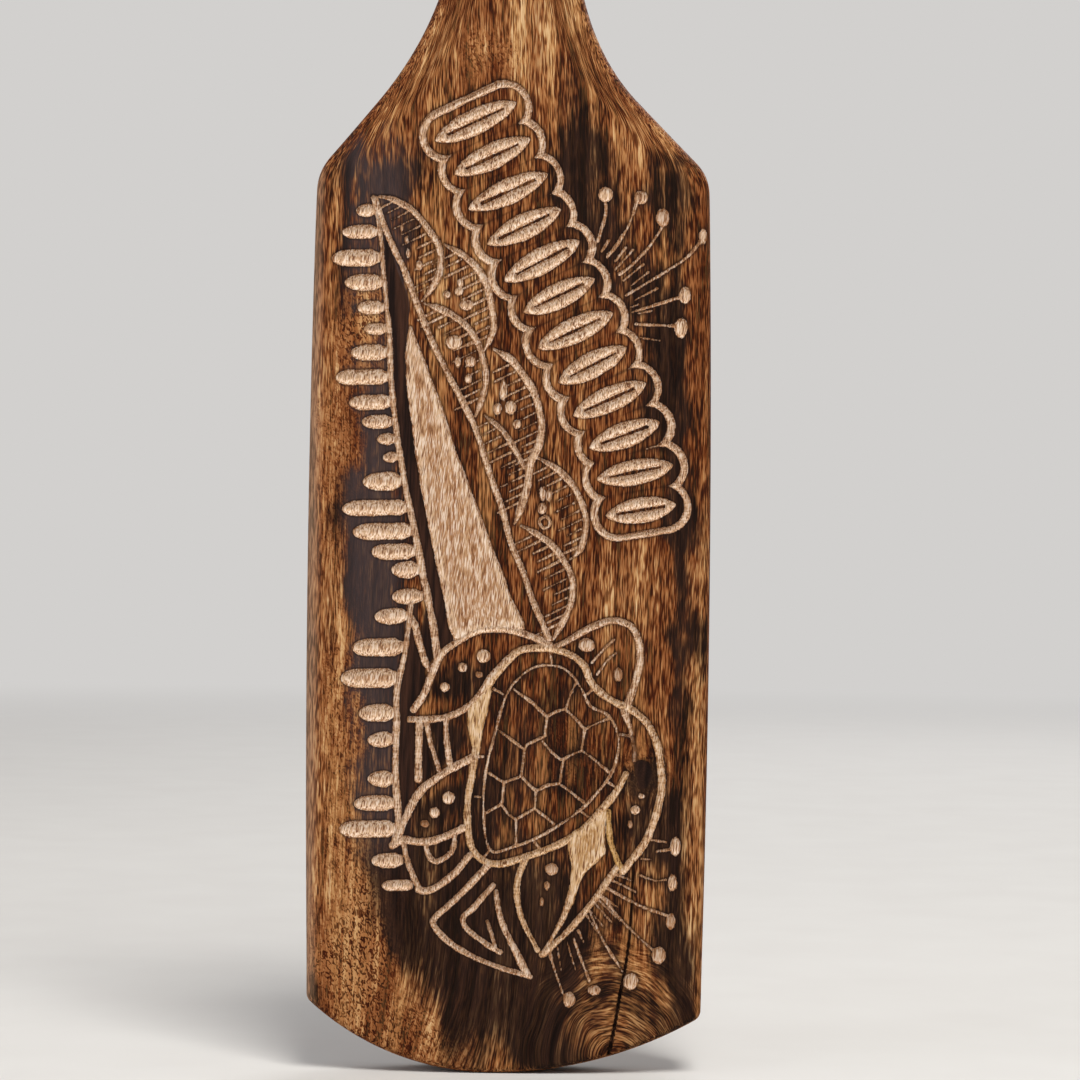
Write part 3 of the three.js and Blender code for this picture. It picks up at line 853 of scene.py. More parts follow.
# Left and right end, height and half height of each tooth.
COMB = (
    (-47.2, -41.0, 258.4, 2.0), (-51.3, -40.5, 252.0, 2.1), (-54.2, -39.6, 244.2, 2.6),
    (-50.3, -38.6, 236.8, 2.5), (-46.3, -38.0, 229.3, 2.2), (-44.3, -37.3, 223.0, 1.9),
    (-48.2, -37.0, 215.8, 2.5), (-52.6, -36.6, 208.4, 2.4), (-48.5, -35.8, 200.9, 2.4),
    (-44.6, -35.2, 195.1, 2.2), (-40.0, -34.3, 190.0, 1.8), (-38.2, -33.6, 184.5, 1.6),
    (-44.2, -32.2, 177.2, 2.8), (-50.3, -30.4, 169.2, 2.4), (-47.0, -29.0, 162.2, 2.6),
    (-41.3, -28.0, 156.2, 2.5), (-35.3, -26.6, 150.8, 2.6), (-35.0, -25.5, 142.8, 2.3),
    (-40.1, -30.0, 136.8, 2.4), (-46.7, -31.0, 127.4, 2.8), (-50.1, -32.8, 118.2, 3.0),
    (-44.7, -33.5, 107.7, 2.7), (-41.7, -33.8, 99.7, 2.4), (-41.6, -33.5, 88.0, 2.5),
    (-45.6, -33.2, 80.6, 2.4), (-50.0, -32.8, 72.9, 2.6), (-40.2, -30.5, 63.5, 2.4),
    (-37.0, -27.5, 56.0, 1.7),
)

SAIL_LINES = (
    Line(((-42, 262.5), (-39.5, 250), (-38.5, 238), (-36.7, 222), (-36, 208), (-34.5, 195), (-31.5, 177),
        (-28.4, 163), (-25.8, 150), (-22.8, 136), (-20.9, 124)), 1.2, 2.4),
    Line(((-28.9, 142), (-30, 133), (-31, 125), (-33, 115), (-33.1, 105), (-33.2, 90), (-32.3, 78),
        (-31.7, 72)), 1.6, 2.4),
    Line(((-28.6, 137), (-26, 127), (-23.7, 120.5)), 2.1, taper=3.0),
    Line(((-41.5, 262), (-36.5, 249), (-32.5, 241), (-28.8, 231.5), (-23.7, 219), (-15, 202.5),
        (-11.2, 195), (-8, 186), (-5, 177), (-2, 169), (0.5, 159.4), (4.25, 150.7), (7.2, 142.3),
        (12.3, 130.6)), 1.9),
)

SAIL_PANEL = Patch(((-30.6, 224), (-31.8, 214), (-30.8, 203), (-28.5, 186), (-24.8, 166), (-20, 145),
    (-16.5, 130), (-11, 131.8), (-4, 133.5), (5.2, 133.4), (1.3, 142.3), (-2.5, 152.5), (-7.2, 164),
    (-11.5, 175), (-16.3, 187), (-20, 198.5), (-24, 209), (-28, 219)), 0.9)

CHARRED = (
    ((-38.6, 252), (-38.2, 240), (-37.5, 231), (-36.3, 214), (-35.0, 196), (-31.9, 178), (-28.6, 163),
        (-22.6, 135), (-20, 127), (-15.5, 130), (-20, 146), (-24.8, 167), (-28.5, 186), (-30.8, 203),
        (-31.8, 214), (-31.2, 224), (-31, 232), (-34, 240), (-37.3, 250)),
    ((38.5, 92), (40, 94.5), (43, 93.5), (44, 90), (42.5, 86.5), (40, 86)),
    ((-28, 144), (-29.6, 135), (-31.6, 122), (-32.3, 105), (-32.3, 88), (-31, 79), (-27.6, 85),
        (-27.4, 104), (-28.5, 108), (-24.6, 119), (-26.6, 132)),
    ((-24.8, 105), (-25.5, 96), (-25.4, 88), (-22.6, 89.6), (-24, 98)),
    ((-22, 105), (-20.2, 97), (-18.6, 92), (-18.7, 101), (-18.8, 106)),
    ((-24, 141), (-25.6, 134), (-26.2, 128), (-24.6, 122), (-21, 128)),
)

SCALLOPS = (
    Line(((-40.2, 262.6), (-36.5, 262), (-30, 258.5), (-25, 252.5), (-22, 247.5), (-21.7, 241),
        (-24, 235.5), (-27, 231.5)), 2.1, taper=5.0),
    Line(((-20.5, 248.5), (-14, 244.8), (-8.5, 238.5), (-6, 229.5), (-5.5, 223), (-8.3, 216.5)),
        2.1, taper=5.0),
    Line(((-26.5, 230.8), (-20, 228.5), (-13.5, 224), (-9.8, 218.5), (-7.5, 209), (-8.8, 202),
        (-10.5, 197)), 2.0, taper=5.0),
    Line(((-5.2, 217.3), (0.1, 214), (4.25, 208.8), (7.4, 203.3), (9.4, 194.6), (8.4, 188.3),
        (6.1, 182.9), (5.3, 176), (2.8, 168), (1.6, 165)), 2.3, taper=5.0),
    Line(((-7.7, 197.4), (-2.5, 193), (1.3, 187.5), (5, 180.5)), 1.7, taper=4.0),
    Line(((8.4, 184.8), (14.7, 181.2), (20, 174.8), (23, 166.5), (21.75, 158.2), (18.5, 154.5)),
        2.0, taper=5.0),
    Line(((3.6, 164.4), (8.4, 161.9), (13.4, 158.2), (18.4, 150.7), (19.25, 144), (17.4, 137.75),
        (13.6, 130.3)), 2.0, taper=5.0),
)

CURLS = shades(
    (-44, 33, 11, 34, 0.9), (-26, 8, 14, 8, 0.6), (34, 36, 16, 12, 0.2), (41, 92, 6, 8, 0.7),
    (-44, 226, 8, 13, 0.8), (-50, 185, 6, 30, 0.5), (-48, 105, 5, 30, 0.5), (20, 97, 11, 12, 0.3),
    (-8, 306, 6, 9, 0.6),
)

SCALLOP_DOTS = dots(
    (-33.3, 253.3, 0.6, 1.8), (-31.8, 249.8, 0.7, 1.5), (-31.3, 245.8, 0.8, 1.5), (-28, 242, 1, 1.6),
    (-15.5, 237, 0.8, 1.5), (-19.5, 233.5, 1.2, 1.2), (-16, 234.5, 1.3, 1.3), (-13.5, 230.5, 2, 1.6),
    (-17.3, 219.2, 2.4, 2.2), (-16, 213.3, 1, 2), (-12.2, 213.5, 1.7, 1.8), (-12.7, 208.3, 1.2, 1.5),
    (-2.2, 205.3, 1.1, 3.2), (-3.9, 199.3, 1.3, 1.8), (0, 199.7, 1.8, 2.2), (2, 194.8, 1.4, 1.5),
    (9.9, 174.2, 1, 2.4), (11.9, 173.4, 0.9, 2.2), (9.9, 169.6, 1.4, 1.8),
)

RING = Line(((12.3, 165.5), (11.5, 166.9), (10.7, 167.3), (9.4, 166.5), (9.1, 165.5), (9.9, 164.1),
    (10.7, 163.7), (11.9, 164.4)), 1.1, depth=0.5, closed=True)

TURTLE_LINES = (
    Line(((-28, 108.8), (-25, 113.5), (-22.5, 120), (-19.5, 126), (-14, 130), (-8, 133), (0, 133.2),
        (8, 130.9), (12.6, 128.6)), 2.2),
    Line(((-29, 106), (-20, 106.3), (-13, 109), (-8.5, 113.5), (-4.5, 119.5), (0.1, 124.5)), 2.0),
    Line(((-2, 121.3), (-6.4, 114.7), (-8.5, 102.2), (-10.2, 90), (-11.5, 80), (-10.8, 70), (-7.5, 64.5),
        (-2, 62.8), (6.3, 65.1), (15.5, 68.7), (22.2, 72.8), (28.8, 79.5), (33.8, 86), (35.9, 90.3)),
        2.2, tint=0.35),
    Line(((-2, 121.3), (3.4, 126.8), (11.3, 127.8), (18.8, 125.9), (23, 122.6), (25.5, 117.2),
        (30.9, 112.6), (38, 109.25), (42.6, 104.7), (45.5, 98), (46.75, 88.25), (45.9, 81.2),
        (42.6, 71.2), (38.4, 64.9), (35.3, 61)), 2.3, tint=0.25),
    Line(((35.1, 109.25), (37, 104.25), (37.2, 102.2)), 2.2, 1.0),
    Line(((37.6, 101.3), (38.4, 98), (38.4, 94.25)), 1.0, tone=0.5),
    Line(((34, 102.2), (36.75, 101.75)), 0.9),
    Line(((-4.6, 67), (-6.6, 78), (-6.2, 90), (-3.5, 102), (-0.3, 113.4), (3.4, 118.6), (8, 122),
        (13.8, 122.6), (18.4, 120.7), (22.2, 115.9), (25.1, 110.5), (30.9, 107.4), (33.6, 100.5),
        (32.8, 93.8), (30.5, 88.7), (24.7, 81.6), (18.8, 76.6), (10.5, 71.4), (2.2, 68)),
        0.9, depth=0.5, closed=True),
    Line(((14.5, 128.3), (18, 130.1), (24.7, 134), (31.3, 136.3), (36.75, 134.7), (39.25, 130.1),
        (39.7, 123.8), (38.2, 117.2), (35.9, 110.5)), 1.8, 2.3),
    Line(((31.75, 130.5), (28.4, 127.2), (25.3, 123.6)), 0.9, depth=0.4),
    Line(((32.4, 126.5), (29.9, 124.25), (27, 120.1)), 0.9, depth=0.4),
    Line(((-26.3, 105), (-26.3, 88)), 2.2), Line(((-24, 104.5), (-22.8, 99), (-20.2, 91)), 1.6),
    Line(((-18.3, 106), (-18, 100), (-16.8, 92)), 1.8),
    Line(((-9.5, 95), (-16, 91.5), (-20, 89), (-24, 86), (-27, 82.5), (-30.5, 75.5), (-33.5, 68.5)),
        2.4),
    Line(((-33.8, 68), (-31, 69.7), (-26, 69.2), (-22, 69.5), (-18, 71), (-12.5, 73.5)), 2.5),
    Line(((-24, 69), (-23.3, 66), (-22, 64), (-20, 63.5), (-16, 66.5), (-15.2, 71.5)), 1.6),
    Line(((-30.5, 69), (-29.5, 64), (-28, 60), (-25.5, 54.8)), 1.7),
    Line(((-26, 55), (-23.5, 54.5), (-20, 56), (-15.5, 59.5), (-10.5, 65.5)), 2.1),
    Line(((6.3, 65), (4, 58.7), (3.8, 52), (5.7, 45.3), (10.1, 37.2)), 2.4, 1.5, tint=0.3),
    Line(((20.1, 54.5), (18, 47.8), (15.3, 42.5), (11.5, 36)), 2.4, 1.0, tint=0.2),
    Line(((33.4, 62), (29.25, 55.75), (24.7, 49.5), (18, 41.8), (11.5, 35.8)), 2.0, tint=0.2),
    Line(((30.8, 79), (31.2, 73), (32, 68.5), (34.7, 62.3)), 1.7, tint=1.0),
    Line(((-5, 62.5), (-11, 56), (-17, 50), (-21, 46.4), (-21, 43.9), (-16.8, 39.5), (-10.2, 35.4),
        (-1.9, 32), (8.2, 29.1)), 2.1, 1.5),
    Line(((-3.5, 56.5), (-9, 50), (-12.4, 46.6), (-11.4, 43.5), (-6.4, 39.5), (-1.2, 36.4)), 1.8),
    Line(((-5.2, 45.6), (-4.1, 42.7), (-2.7, 38)), 1.4),
    Line(((-2.6, 54.5), (-1.2, 46.5), (2, 39.5), (7, 30)), 1.6, 2.4),
)

TURTLE_PATCHES = (
    Patch(((-11.8, 109.3), (-8.5, 113), (-5, 117.5), (-5.2, 111.3), (-7.25, 102.6), (-8.7, 94.3),
        (-11, 100.5)), 0.6, 0.5),
    Patch(((18.8, 71.2), (24.5, 75.5), (30.4, 80), (30.2, 75.5), (29.6, 70), (30, 66.3), (23.8, 60),
        (20.5, 51), (18.4, 51), (19.2, 56), (19.8, 62)), 0.6, 0.45),
)

TURTLE_DOTS = dots(
    (-7.3, 125.2, 2.2, 2.2), (-13.5, 121.7, 1.6, 1.6), (-18.7, 115.7, 1.6, 1.6),
    (-8.5, 119.5, 1.2, 1.0, 0.3), (23.8, 128.8, 2.6, 2.1, 0.75), (33.2, 120.1, 1.4, 2.3, 0.5),
    (-17.2, 82.6, 1.9, 2.0), (-21.4, 78, 1.6, 1.7), (-24.2, 74.7, 1.4, 1.2, 0.3),
    (14, 61.4, 2, 1.8, 0.6), (12.6, 56.6, 1, 1.6, 0.6), (11.1, 51.6, 0.8, 1.4, 0.5),
    (40.7, 83.7, 1, 0.9), (39, 79.5, 1.5, 1.4), (37.4, 75.3, 0.7, 1.2, 0.4),
)

SHELL_PLATES = (
    ((2, 115.3), (7.6, 111.3), (12, 107.2), (14.7, 108.8), (17.6, 109.6), (20.5, 106.75), (23.4, 103.7)),
    ((12, 107.2), (11.5, 101.4), (8.4, 99.9), (6.1, 98.8), (5.3, 97), (4.9, 92.2), (4.5, 89.5)),
    ((-2.8, 103.2), (0.5, 100.9), (5.2, 97.4)),
    ((10.9, 99.8), (13.4, 96.75), (16.4, 94.3), (19.7, 95.9), (22.5, 97.2), (26.75, 94.25),
        (30.7, 90.9)),
    ((17.2, 94.5), (16.5, 90.9), (16.2, 87.2), (12.6, 86.8), (9, 84.9), (7, 86.6), (4.5, 89.2),
        (-0.3, 87.5)),
    ((17.7, 109.5), (18.8, 113.4), (20.5, 117.2)),
    ((30.9, 107), (26.75, 105.3), (23.5, 103.6), (23, 100.5), (22.5, 97.2)),
    ((-5, 90), (-0.7, 87.3), (-1, 82), (-1.4, 80.8), (-6.4, 77.8)),
    ((9, 84.9), (8.75, 79.7), (5.5, 77.8), (3.1, 76.2), (3.2, 68.7)),
    ((-1.3, 80.6), (0.9, 77.6), (3.1, 76.2)), ((8.8, 79.6), (12.2, 77), (14.5, 75.1)),
    ((16.2, 87), (19.7, 84.5), (23.4, 81.6)), ((12.8, 126.1), (13.3, 123.4)),
    ((23.8, 114), (25.3, 115.3)), ((-4, 115.3), (-1, 113.7)), ((-9.3, 83), (-7.5, 82.8)),
    ((-8.3, 95), (-7, 95)), ((-4.4, 67.2), (-6.5, 64.8)), ((22.6, 78.9), (24.9, 77.2)),
    ((8.8, 69.5), (10.1, 68)), ((30.5, 87.8), (32.4, 86.6)),
)

STAMEN_HEADS = dots(
    (27.7, 264.1, 2.2, 2.25), (38.4, 263.3, 2.0, 2.0, 0.85), (45, 257.3, 1.9, 2.7, 0.6),
    (57.2, 251.8, 1.4, 2.3), (51.9, 234.2, 1.75, 2.6), (50.9, 224.2, 1.9, 3.0), (51.1, 68.7, 1.6, 2.9),
    (50.3, 57.8, 1.6, 2.7), (49.9, 46.2, 1.4, 2.4, 0.5), (46.5, 36, 2.1, 2.7, 0.6),
    (38.2, 28.1, 2.2, 2.6, 0.8), (27.2, 25.2, 2.0, 1.6, 0.6), (19.6, 22.4, 1.9, 2.5, 0.75),
)

STAMENS = (
    ((27.8, 261.4), (27.8, 258.1), (25.5, 250)),
    ((37, 261.4), (34.7, 254.8), (31.3, 249.1), (28.4, 245.4)),
    ((44.7, 254.3), (41.1, 248.7), (35.5, 242.7), (32.2, 240.2)),
    ((56.7, 251), (52.2, 245.4), (43, 239.3), (34.2, 233.9)),
    ((50.3, 233.5), (45.1, 231.8), (36.1, 228.9)), ((49, 224.9), (37.2, 225.3)),
    ((49.7, 67.8), (45.5, 67.2)), ((48.4, 58.7), (44.7, 58.5), (40.5, 60)),
    ((48.8, 48), (39.7, 51.2), (30.3, 56.2)), ((44.5, 37.7), (36.75, 44.75), (28.8, 53.7)),
    ((35.7, 31), (29.7, 40.2), (25.5, 49)), ((25.7, 28.1), (22.6, 36), (20.9, 40.6)),
    ((18, 23.9), (15.1, 31.8), (13.8, 36)),
)

RAYS = (
    ((28.8, 250.2), (26.8, 247)), ((34, 248.3), (30.9, 244.1)), ((36.3, 247.7), (30.9, 241.6)),
    ((39.3, 246.4), (35.5, 242.7)), ((39.3, 243.3), (33.4, 238.3)), ((40.9, 241), (35.7, 236.8)),
    ((43.4, 236), (36.8, 232.5)), ((38, 231.2), (35.7, 230.4)), ((41.8, 229.3), (38, 228.5)),
    ((44.5, 220.4), (38.5, 221.3)), ((16.1, 38.1), (17.2, 30.6)), ((18.8, 39.75), (21.5, 31.4)),
    ((22.2, 43.1), (24, 39.5)), ((24.7, 47.8), (28, 42.4)), ((25.5, 49.5), (29.7, 44.5)),
    ((27, 51.4), (32.2, 45.75)), ((27.8, 52.8), (34.7, 46.2)), ((28.8, 53.9), (33.8, 50.3)),
    ((31.75, 58.7), (39.25, 54.9)), ((33.4, 60.1), (38.2, 58.25)), ((40.9, 64.9), (43.8, 64.7)),
    ((44, 70.5), (48.4, 70)),
)

CRACK = Line(((38.6, 64), (38.3, 54), (37.8, 43.5), (37.2, 37.7), (36.3, 31.4), (35, 24.3), (33.4, 14.3),
    (31.75, 6)), 0.25, 0.7, 1.4)

SCORCHES = shades(
    (-39, 190, 6.5, 24, 0.95), (-41, 165, 9, 16, 0.9), (-41, 140, 9, 18, 0.95), (-40, 115, 8, 22, 0.85),
    (-39, 88, 7, 18, 0.7), (-38, 62, 8, 12, 0.85), (-38, 268, 12, 9, 0.95), (-42, 248, 8, 10, 0.6),
    (-34, 245, 3, 12, 0.8), (-52, 250, 4, 30, 0.4), (20, 274, 9, 22, 0.95), (27, 250, 7, 14, 0.7),
    (46, 213, 7, 20, 0.95), (47, 262, 7, 14, 0.7), (36, 232, 8, 12, 0.6), (51, 200, 2, 70, 0.7),
    (54, 135, 4, 50, 0.75), (-15, 119, 13, 7, 0.8), (-20, 78, 11, 7, 0.95), (-20, 98, 9, 7, 0.9),
    (3, 92, 7, 30, 0.35), (-6, 76, 5, 16, 0.7), (24, 96, 8, 14, 0.3), (41, 90, 5, 8, 0.95),
    (10, 52, 12, 14, 0.95), (-10, 48, 17, 16, 1.0), (-31, 47, 7, 13, 0.95), (-26, 63, 9, 8, 0.95),
    (-3, 25, 20, 17, 1.0), (5, 13, 17, 10, 1.0), (-14, 36, 16, 14, 0.8), (30, 40, 13, 16, 0.4),
    (34, 14, 20, 18, 0.4), (47, 14, 8, 14, 0.5), (17, 40, 8, 12, 0.8), (52, 47, 6, 26, 0.8),
    (47, 72, 8, 14, 0.85), (38, 72, 6, 10, 0.7), (20, 120, 6, 8, 0.4), (10, 5, 12, 5, 0.9),
    (-57, 24, 3, 24, 0.4), (55, 24, 5, 26, 0.75), (10, 88, 13, 22, 0.3),
)

# Paler golden patches of the wood. The long strips at x -55 and x 58 pale the rounded edges: partly the
# wood's tone, partly painted sheen.
GLOWS = shades(
    (-49, 40, 12, 36, 0.32), (-55, 150, 5, 90, 0.95), (-46, 226, 7, 16, 0.6), (-26, 22, 4, 20, 0.75),
    (-14, 9, 8, 8, 0.7), (36, 10, 14, 9, 0.15), (33, 30, 9, 12, 0.2), (37, 146, 12, 18, 0.75),
    (-14, 234, 12, 16, 0.55), (0, 200, 8, 24, 0.5), (10, 166, 10, 16, 0.4), (10, 93, 17, 27, -0.45),
    (38, 278, 8, 10, 0.65), (2, 312, 15, 18, 0.95), (-24, 305, 7, 14, 0.8), (-36, 284, 8, 8, 0.45),
    (58, 110, 2.5, 90, 0.5),
)


@dataclass(frozen=True)
class Garland:
    """A row of plain leaves across the upper blade, inside one scalloped line."""

    spine: Path = (
        (-11.5, 285.5), (-4, 270), (4, 253), (12.5, 237),
        (20.5, 220.5), (29, 204), (36, 187), (39.5, 169.5),
    )
    leaves: int = 12
    half_length: float = 13.5
    half_width: float = 3.9
    fullness: float = 0.7
    taper: float = 0.15
    alternation: float = 0.05
    gap: float = 2.2
    line_width: float = 2.3
    vein_width: float = 0.6
    vein_share: float = 0.7
    leaf_depth: float = 1.15
    leaf_wall: float = 2.4
    line_depth: float = 1.05
    line_wall: float = 1.1


@dataclass(frozen=True)
class Hatching:
    """Thin slanting scratches inside a scallop, from a first share of its line over another."""

    pitch: float = 2.7
    slope: float = math.radians(27)
    lengths: tuple[float, ...] = (5.2, 7.0, 6.0, 7.8, 4.6)
    width: float = 0.75
    end_width: float = 0.5
    depth: float = 0.35
    first: float = 0.12
    share: float = 0.8
    gap: float = 1.5


class Relief:
    """What gouge and fire did to the face: depth, cut edge, stroke and tones at given points."""

    FIELDS = ("cut", "stroke", "tint", "tone", "scorch", "glow", "curl", "ring")

    # How far round a shape points are looked for, how uneven its cut is, how deep and wide the
    # walls of each kind are, how far the tones bend, and how strong the blackest ones are.
    LINE_MARGIN = 4.0
    BORDER_MARGIN = 3.0
    WAVER = 0.34
    RAGGEDNESS = 0.16
    MARK_DEPTH = 0.2
    DOT_DEPTH = 0.8
    DOT_WALL = 1.2
    PATCH_WALL = 1.1
    TOOTH_DEPTH = 1.15
    TOOTH_NOSE = 2.1
    TOOTH_BEVEL = 0.5
    TOOTH_RISE = 0.03
    BEND_ACROSS = 8.0
    BEND_UP = 14.0
    CHARRED_BLACK = 1.25
    CRACK_BLACK = 1.8
    HALO = 0.35
    HOLLOWS = 0.10

    def __init__(self, x: Array, z: Array) -> None:
        """Starts with a bare face at the points x, z."""
        self.x, self.z = x, z
        for field in ("depth", *self.FIELDS):
            setattr(self, field, np.full(x.shape, UNCUT if field == "cut" else 0.0))

    def near(self, points: Array, margin: float) -> Array:
        """Finds points near some others.

        Args:
            points: The others, one in each row.
            margin: How far beyond their box to look.

        Returns:
            Numbers of the points found.
        """
        low, high = points.min(axis=0) - margin, points.max(axis=0) + margin
        inside = (self.x > low[0]) & (self.x < high[0]) & (self.z > low[1]) & (self.z < high[1])
        return np.flatnonzero(inside)

    def to_path(self, index: Array, path: Array) -> Pair:
        """Distance from points to a path, and how far along it the nearest place is.

        On each span, that place is the point's shadow, kept between the two ends.

        Args:
            index: Numbers of the points.
            path: The path's points, one in each row.

        Returns:
            The distances and the places, both in millimetres.
        """
        x, z = self.x[index], self.z[index]
        best = np.full(len(index), 1e9)
        along = np.zeros(len(index))
        passed = 0.0
        for start, stop in zip(path[:-1], path[1:]):
            way = stop - start
            length = float(np.hypot(*way))
            if length < 1e-9:
                continue
            share = np.clip(((x - start[0]) * way[0] + (z - start[1]) * way[1]) / length**2, 0, 1)
            distance = np.hypot(x - start[0] - share * way[0], z - start[1] - share * way[1])
            nearer = distance < best
            best = np.where(nearer, distance, best)
            along = np.where(nearer, passed + share * length, along)
            passed += length
        return best, along

    def gouge(
        self,
        index: Array,
        inside: Array,
        along: Array,
        depth: float,
        wall: float,
        tint: float = 0.0,
        tone: float = 1.0,
    ) -> None:
        """Cuts a shape into the face.

        The floor falls from the border as a parabola over the wall's width, with uneven marks
        along the stroke and along the grain.

        Args:
            index: Numbers of the points near it.
            inside: How far each lies inside the border.
            along: Distance along the stroke.
            depth: Depth of the floor.
            wall: Width of the curved wall.
            tint: How yellow the bare wood is.
            tone: How pale it is.
        """
        x, z = self.x[index], self.z[index]
        ragged = inside + self.WAVER * (lattice_noise(x / 4.5, z / 4.5, 4) - 0.5)
        ragged += self.RAGGEDNESS * (lattice_noise(x / 0.9, z / 1.3, 3) - 0.5)
        marks = lattice_noise(along / 0.9, inside / 2.2, 5) * 0.5
        marks += lattice_noise(x / 0.6, z / 1.5, 6) * 0.5
        deeper = ragged > self.cut[index]
        share = np.clip(ragged / wall, 0, 1)
        bowl = depth * (1 - (1 - share) ** 2)
        floor = bowl * (1 - self.MARK_DEPTH * marks * np.minimum(1, share * 2))
        held = self.depth[index]
        self.depth[index] = np.where(deeper, np.maximum(held, floor), held)
        for field, value in (("cut", ragged), ("stroke", along), ("tint", tint), ("tone", tone)):
            kept = getattr(self, field)
            kept[index] = np.where(deeper, value, kept[index])

    def traced(self, line: Line) -> tuple[Array, Array, Array]:
        """Follows a line, whose half width less the distance from its path lies inside.

        The width changes evenly along the line. Tapered tips have 0.3 of it.

        Args:
            line: The line.

        Returns:
            Numbers of the points near it, how far inside each lies, and how far along.
        """
        path = np.array(line.path, float)
        if not line.straight:
            path = smooth_path(line.path, closed=line.closed)
        index = self.near(path, self.LINE_MARGIN)
        distance, along = self.to_path(index, path)
        total = float(spans(path).sum())
        end = line.end_width or line.width
        half = 0.5 * (line.width + (end - line.width) * along / total)
        if line.taper:
            tip = smoothstep(0, line.taper, along) * smoothstep(0, line.taper, total - along)
            half = half * (0.3 + 0.7 * tip)
        return index, half - distance, along

    def line(self, line: Line) -> None:
        """Cuts one gouge line, whose walls are half as wide as the line."""
        wall = max(0.4, 0.5 * line.width)
        self.gouge(*self.traced(line), line.depth, wall, line.tint, line.tone)

    def dot(self, dot: Dot) -> None:
        """Cuts one oval mark: its edge is where the scaled distance from its middle is 1.

        Args:
            dot: The mark.
        """
        centre = np.array([[dot.x, dot.z]])
        index = self.near(centre, max(dot.across, dot.up) + 3)
        x, z = (self.x[index] - dot.x) / dot.across, (self.z[index] - dot.z) / dot.up
        inside = (1 - np.hypot(x, z)) * min(dot.across, dot.up)
        self.gouge(index, inside, self.x[index], self.DOT_DEPTH, self.DOT_WALL, tone=dot.tone)

    def bordered(self, border: Path) -> Pair:
        """Follows a closed border.

        Args:
            border: The border.

        Returns:
            Numbers of the points near it, and how far inside each lies.
        """
        path = smooth_path(border, 3, closed=True)
        index = self.near(path, self.BORDER_MARGIN)
        distance, _ = self.to_path(index, path)
        return index, np.where(self.within(index, path), distance, -distance)

    def patch(self, patch: Patch) -> None:
        """Cuts one larger area.

        Args:
            patch: The area.
        """
        index, inside = self.bordered(patch.border)
        stroke = 0.9 * self.x[index] + 0.12 * self.z[index]
        self.gouge(index, inside, stroke, patch.depth, self.PATCH_WALL, patch.tint, patch.tone)

    def within(self, index: Array, border: Array) -> Array:
        """Whether points lie inside a closed border: an odd number of crossings to the right.

        Args:
            index: Numbers of the points.
            border: The border's points, one in each row.

        Returns:
            Whether each lies inside.
        """
        x, z = self.x[index], self.z[index]
        odd = np.zeros(len(index), bool)
        for start, stop in zip(border[:-1], border[1:]):
            level = (start[1] > z) != (stop[1] > z)
            rise = stop[1] - start[1]
            if rise == 0:
                continue
            crossing = start[0] + (z - start[1]) * (stop[0] - start[0]) / rise
            odd ^= level & (x < crossing)
        return odd

    def tooth(self, left: float, right: float, height: float, half: float) -> None:
        """Cuts one tooth of the comb.

        Its half height follows an ellipse from the left tip, stays level and narrows over the
        last half height. Its middle rises a little.

        Args:
            left: Where its tip lies.
            right: Where its blunt end lies.
            height: How high it lies.
            half: Half of its height.
        """
        index = self.near(np.array([[left, height], [right, height]]), half + 3)
        x, z = self.x[index], self.z[index]
        nose = np.clip((x - left) / (self.TOOTH_NOSE * half), 0, 1)
        bevel = np.clip((x - right + half) / half, 0, 1)
        reach = half * np.sqrt(1 - (1 - nose) ** 2) * (1 - self.TOOTH_BEVEL * bevel)
        middle = height + self.TOOTH_RISE * (x - (left + right) / 2)
        ends = np.minimum(x - left, right - x)
        inside = np.minimum(reach - abs(z - middle), ends)
        self.gouge(index, inside, 0.95 * x - 0.3 * z, self.TOOTH_DEPTH, half)

    def shaded(self, ovals: tuple[Shade, ...]) -> Array:
        """How strongly soft ovals with uneven borders cover each point.

        It is one minus the product of what each oval leaves, 1 - strength exp(-0.7 d^2.8),
        where d is the distance from its middle in half axes, bent by noise.

        Args:
            ovals: The ovals.

        Returns:
            The cover at each point.
        """
        x = self.x + self.BEND_ACROSS * (lattice_noise(self.x / 6, self.z / 11, 11) - 0.5)
        z = self.z + self.BEND_UP * (lattice_noise(self.x / 8, self.z / 13, 12) - 0.5)
        left = np.ones(self.x.shape)
        for oval in ovals:
            reach = ((x - oval.x) / oval.across) ** 2 + ((z - oval.z) / oval.up) ** 2
            left *= 1 - oval.strength * np.exp(-(reach**1.4) * 0.7)
        return 1 - left

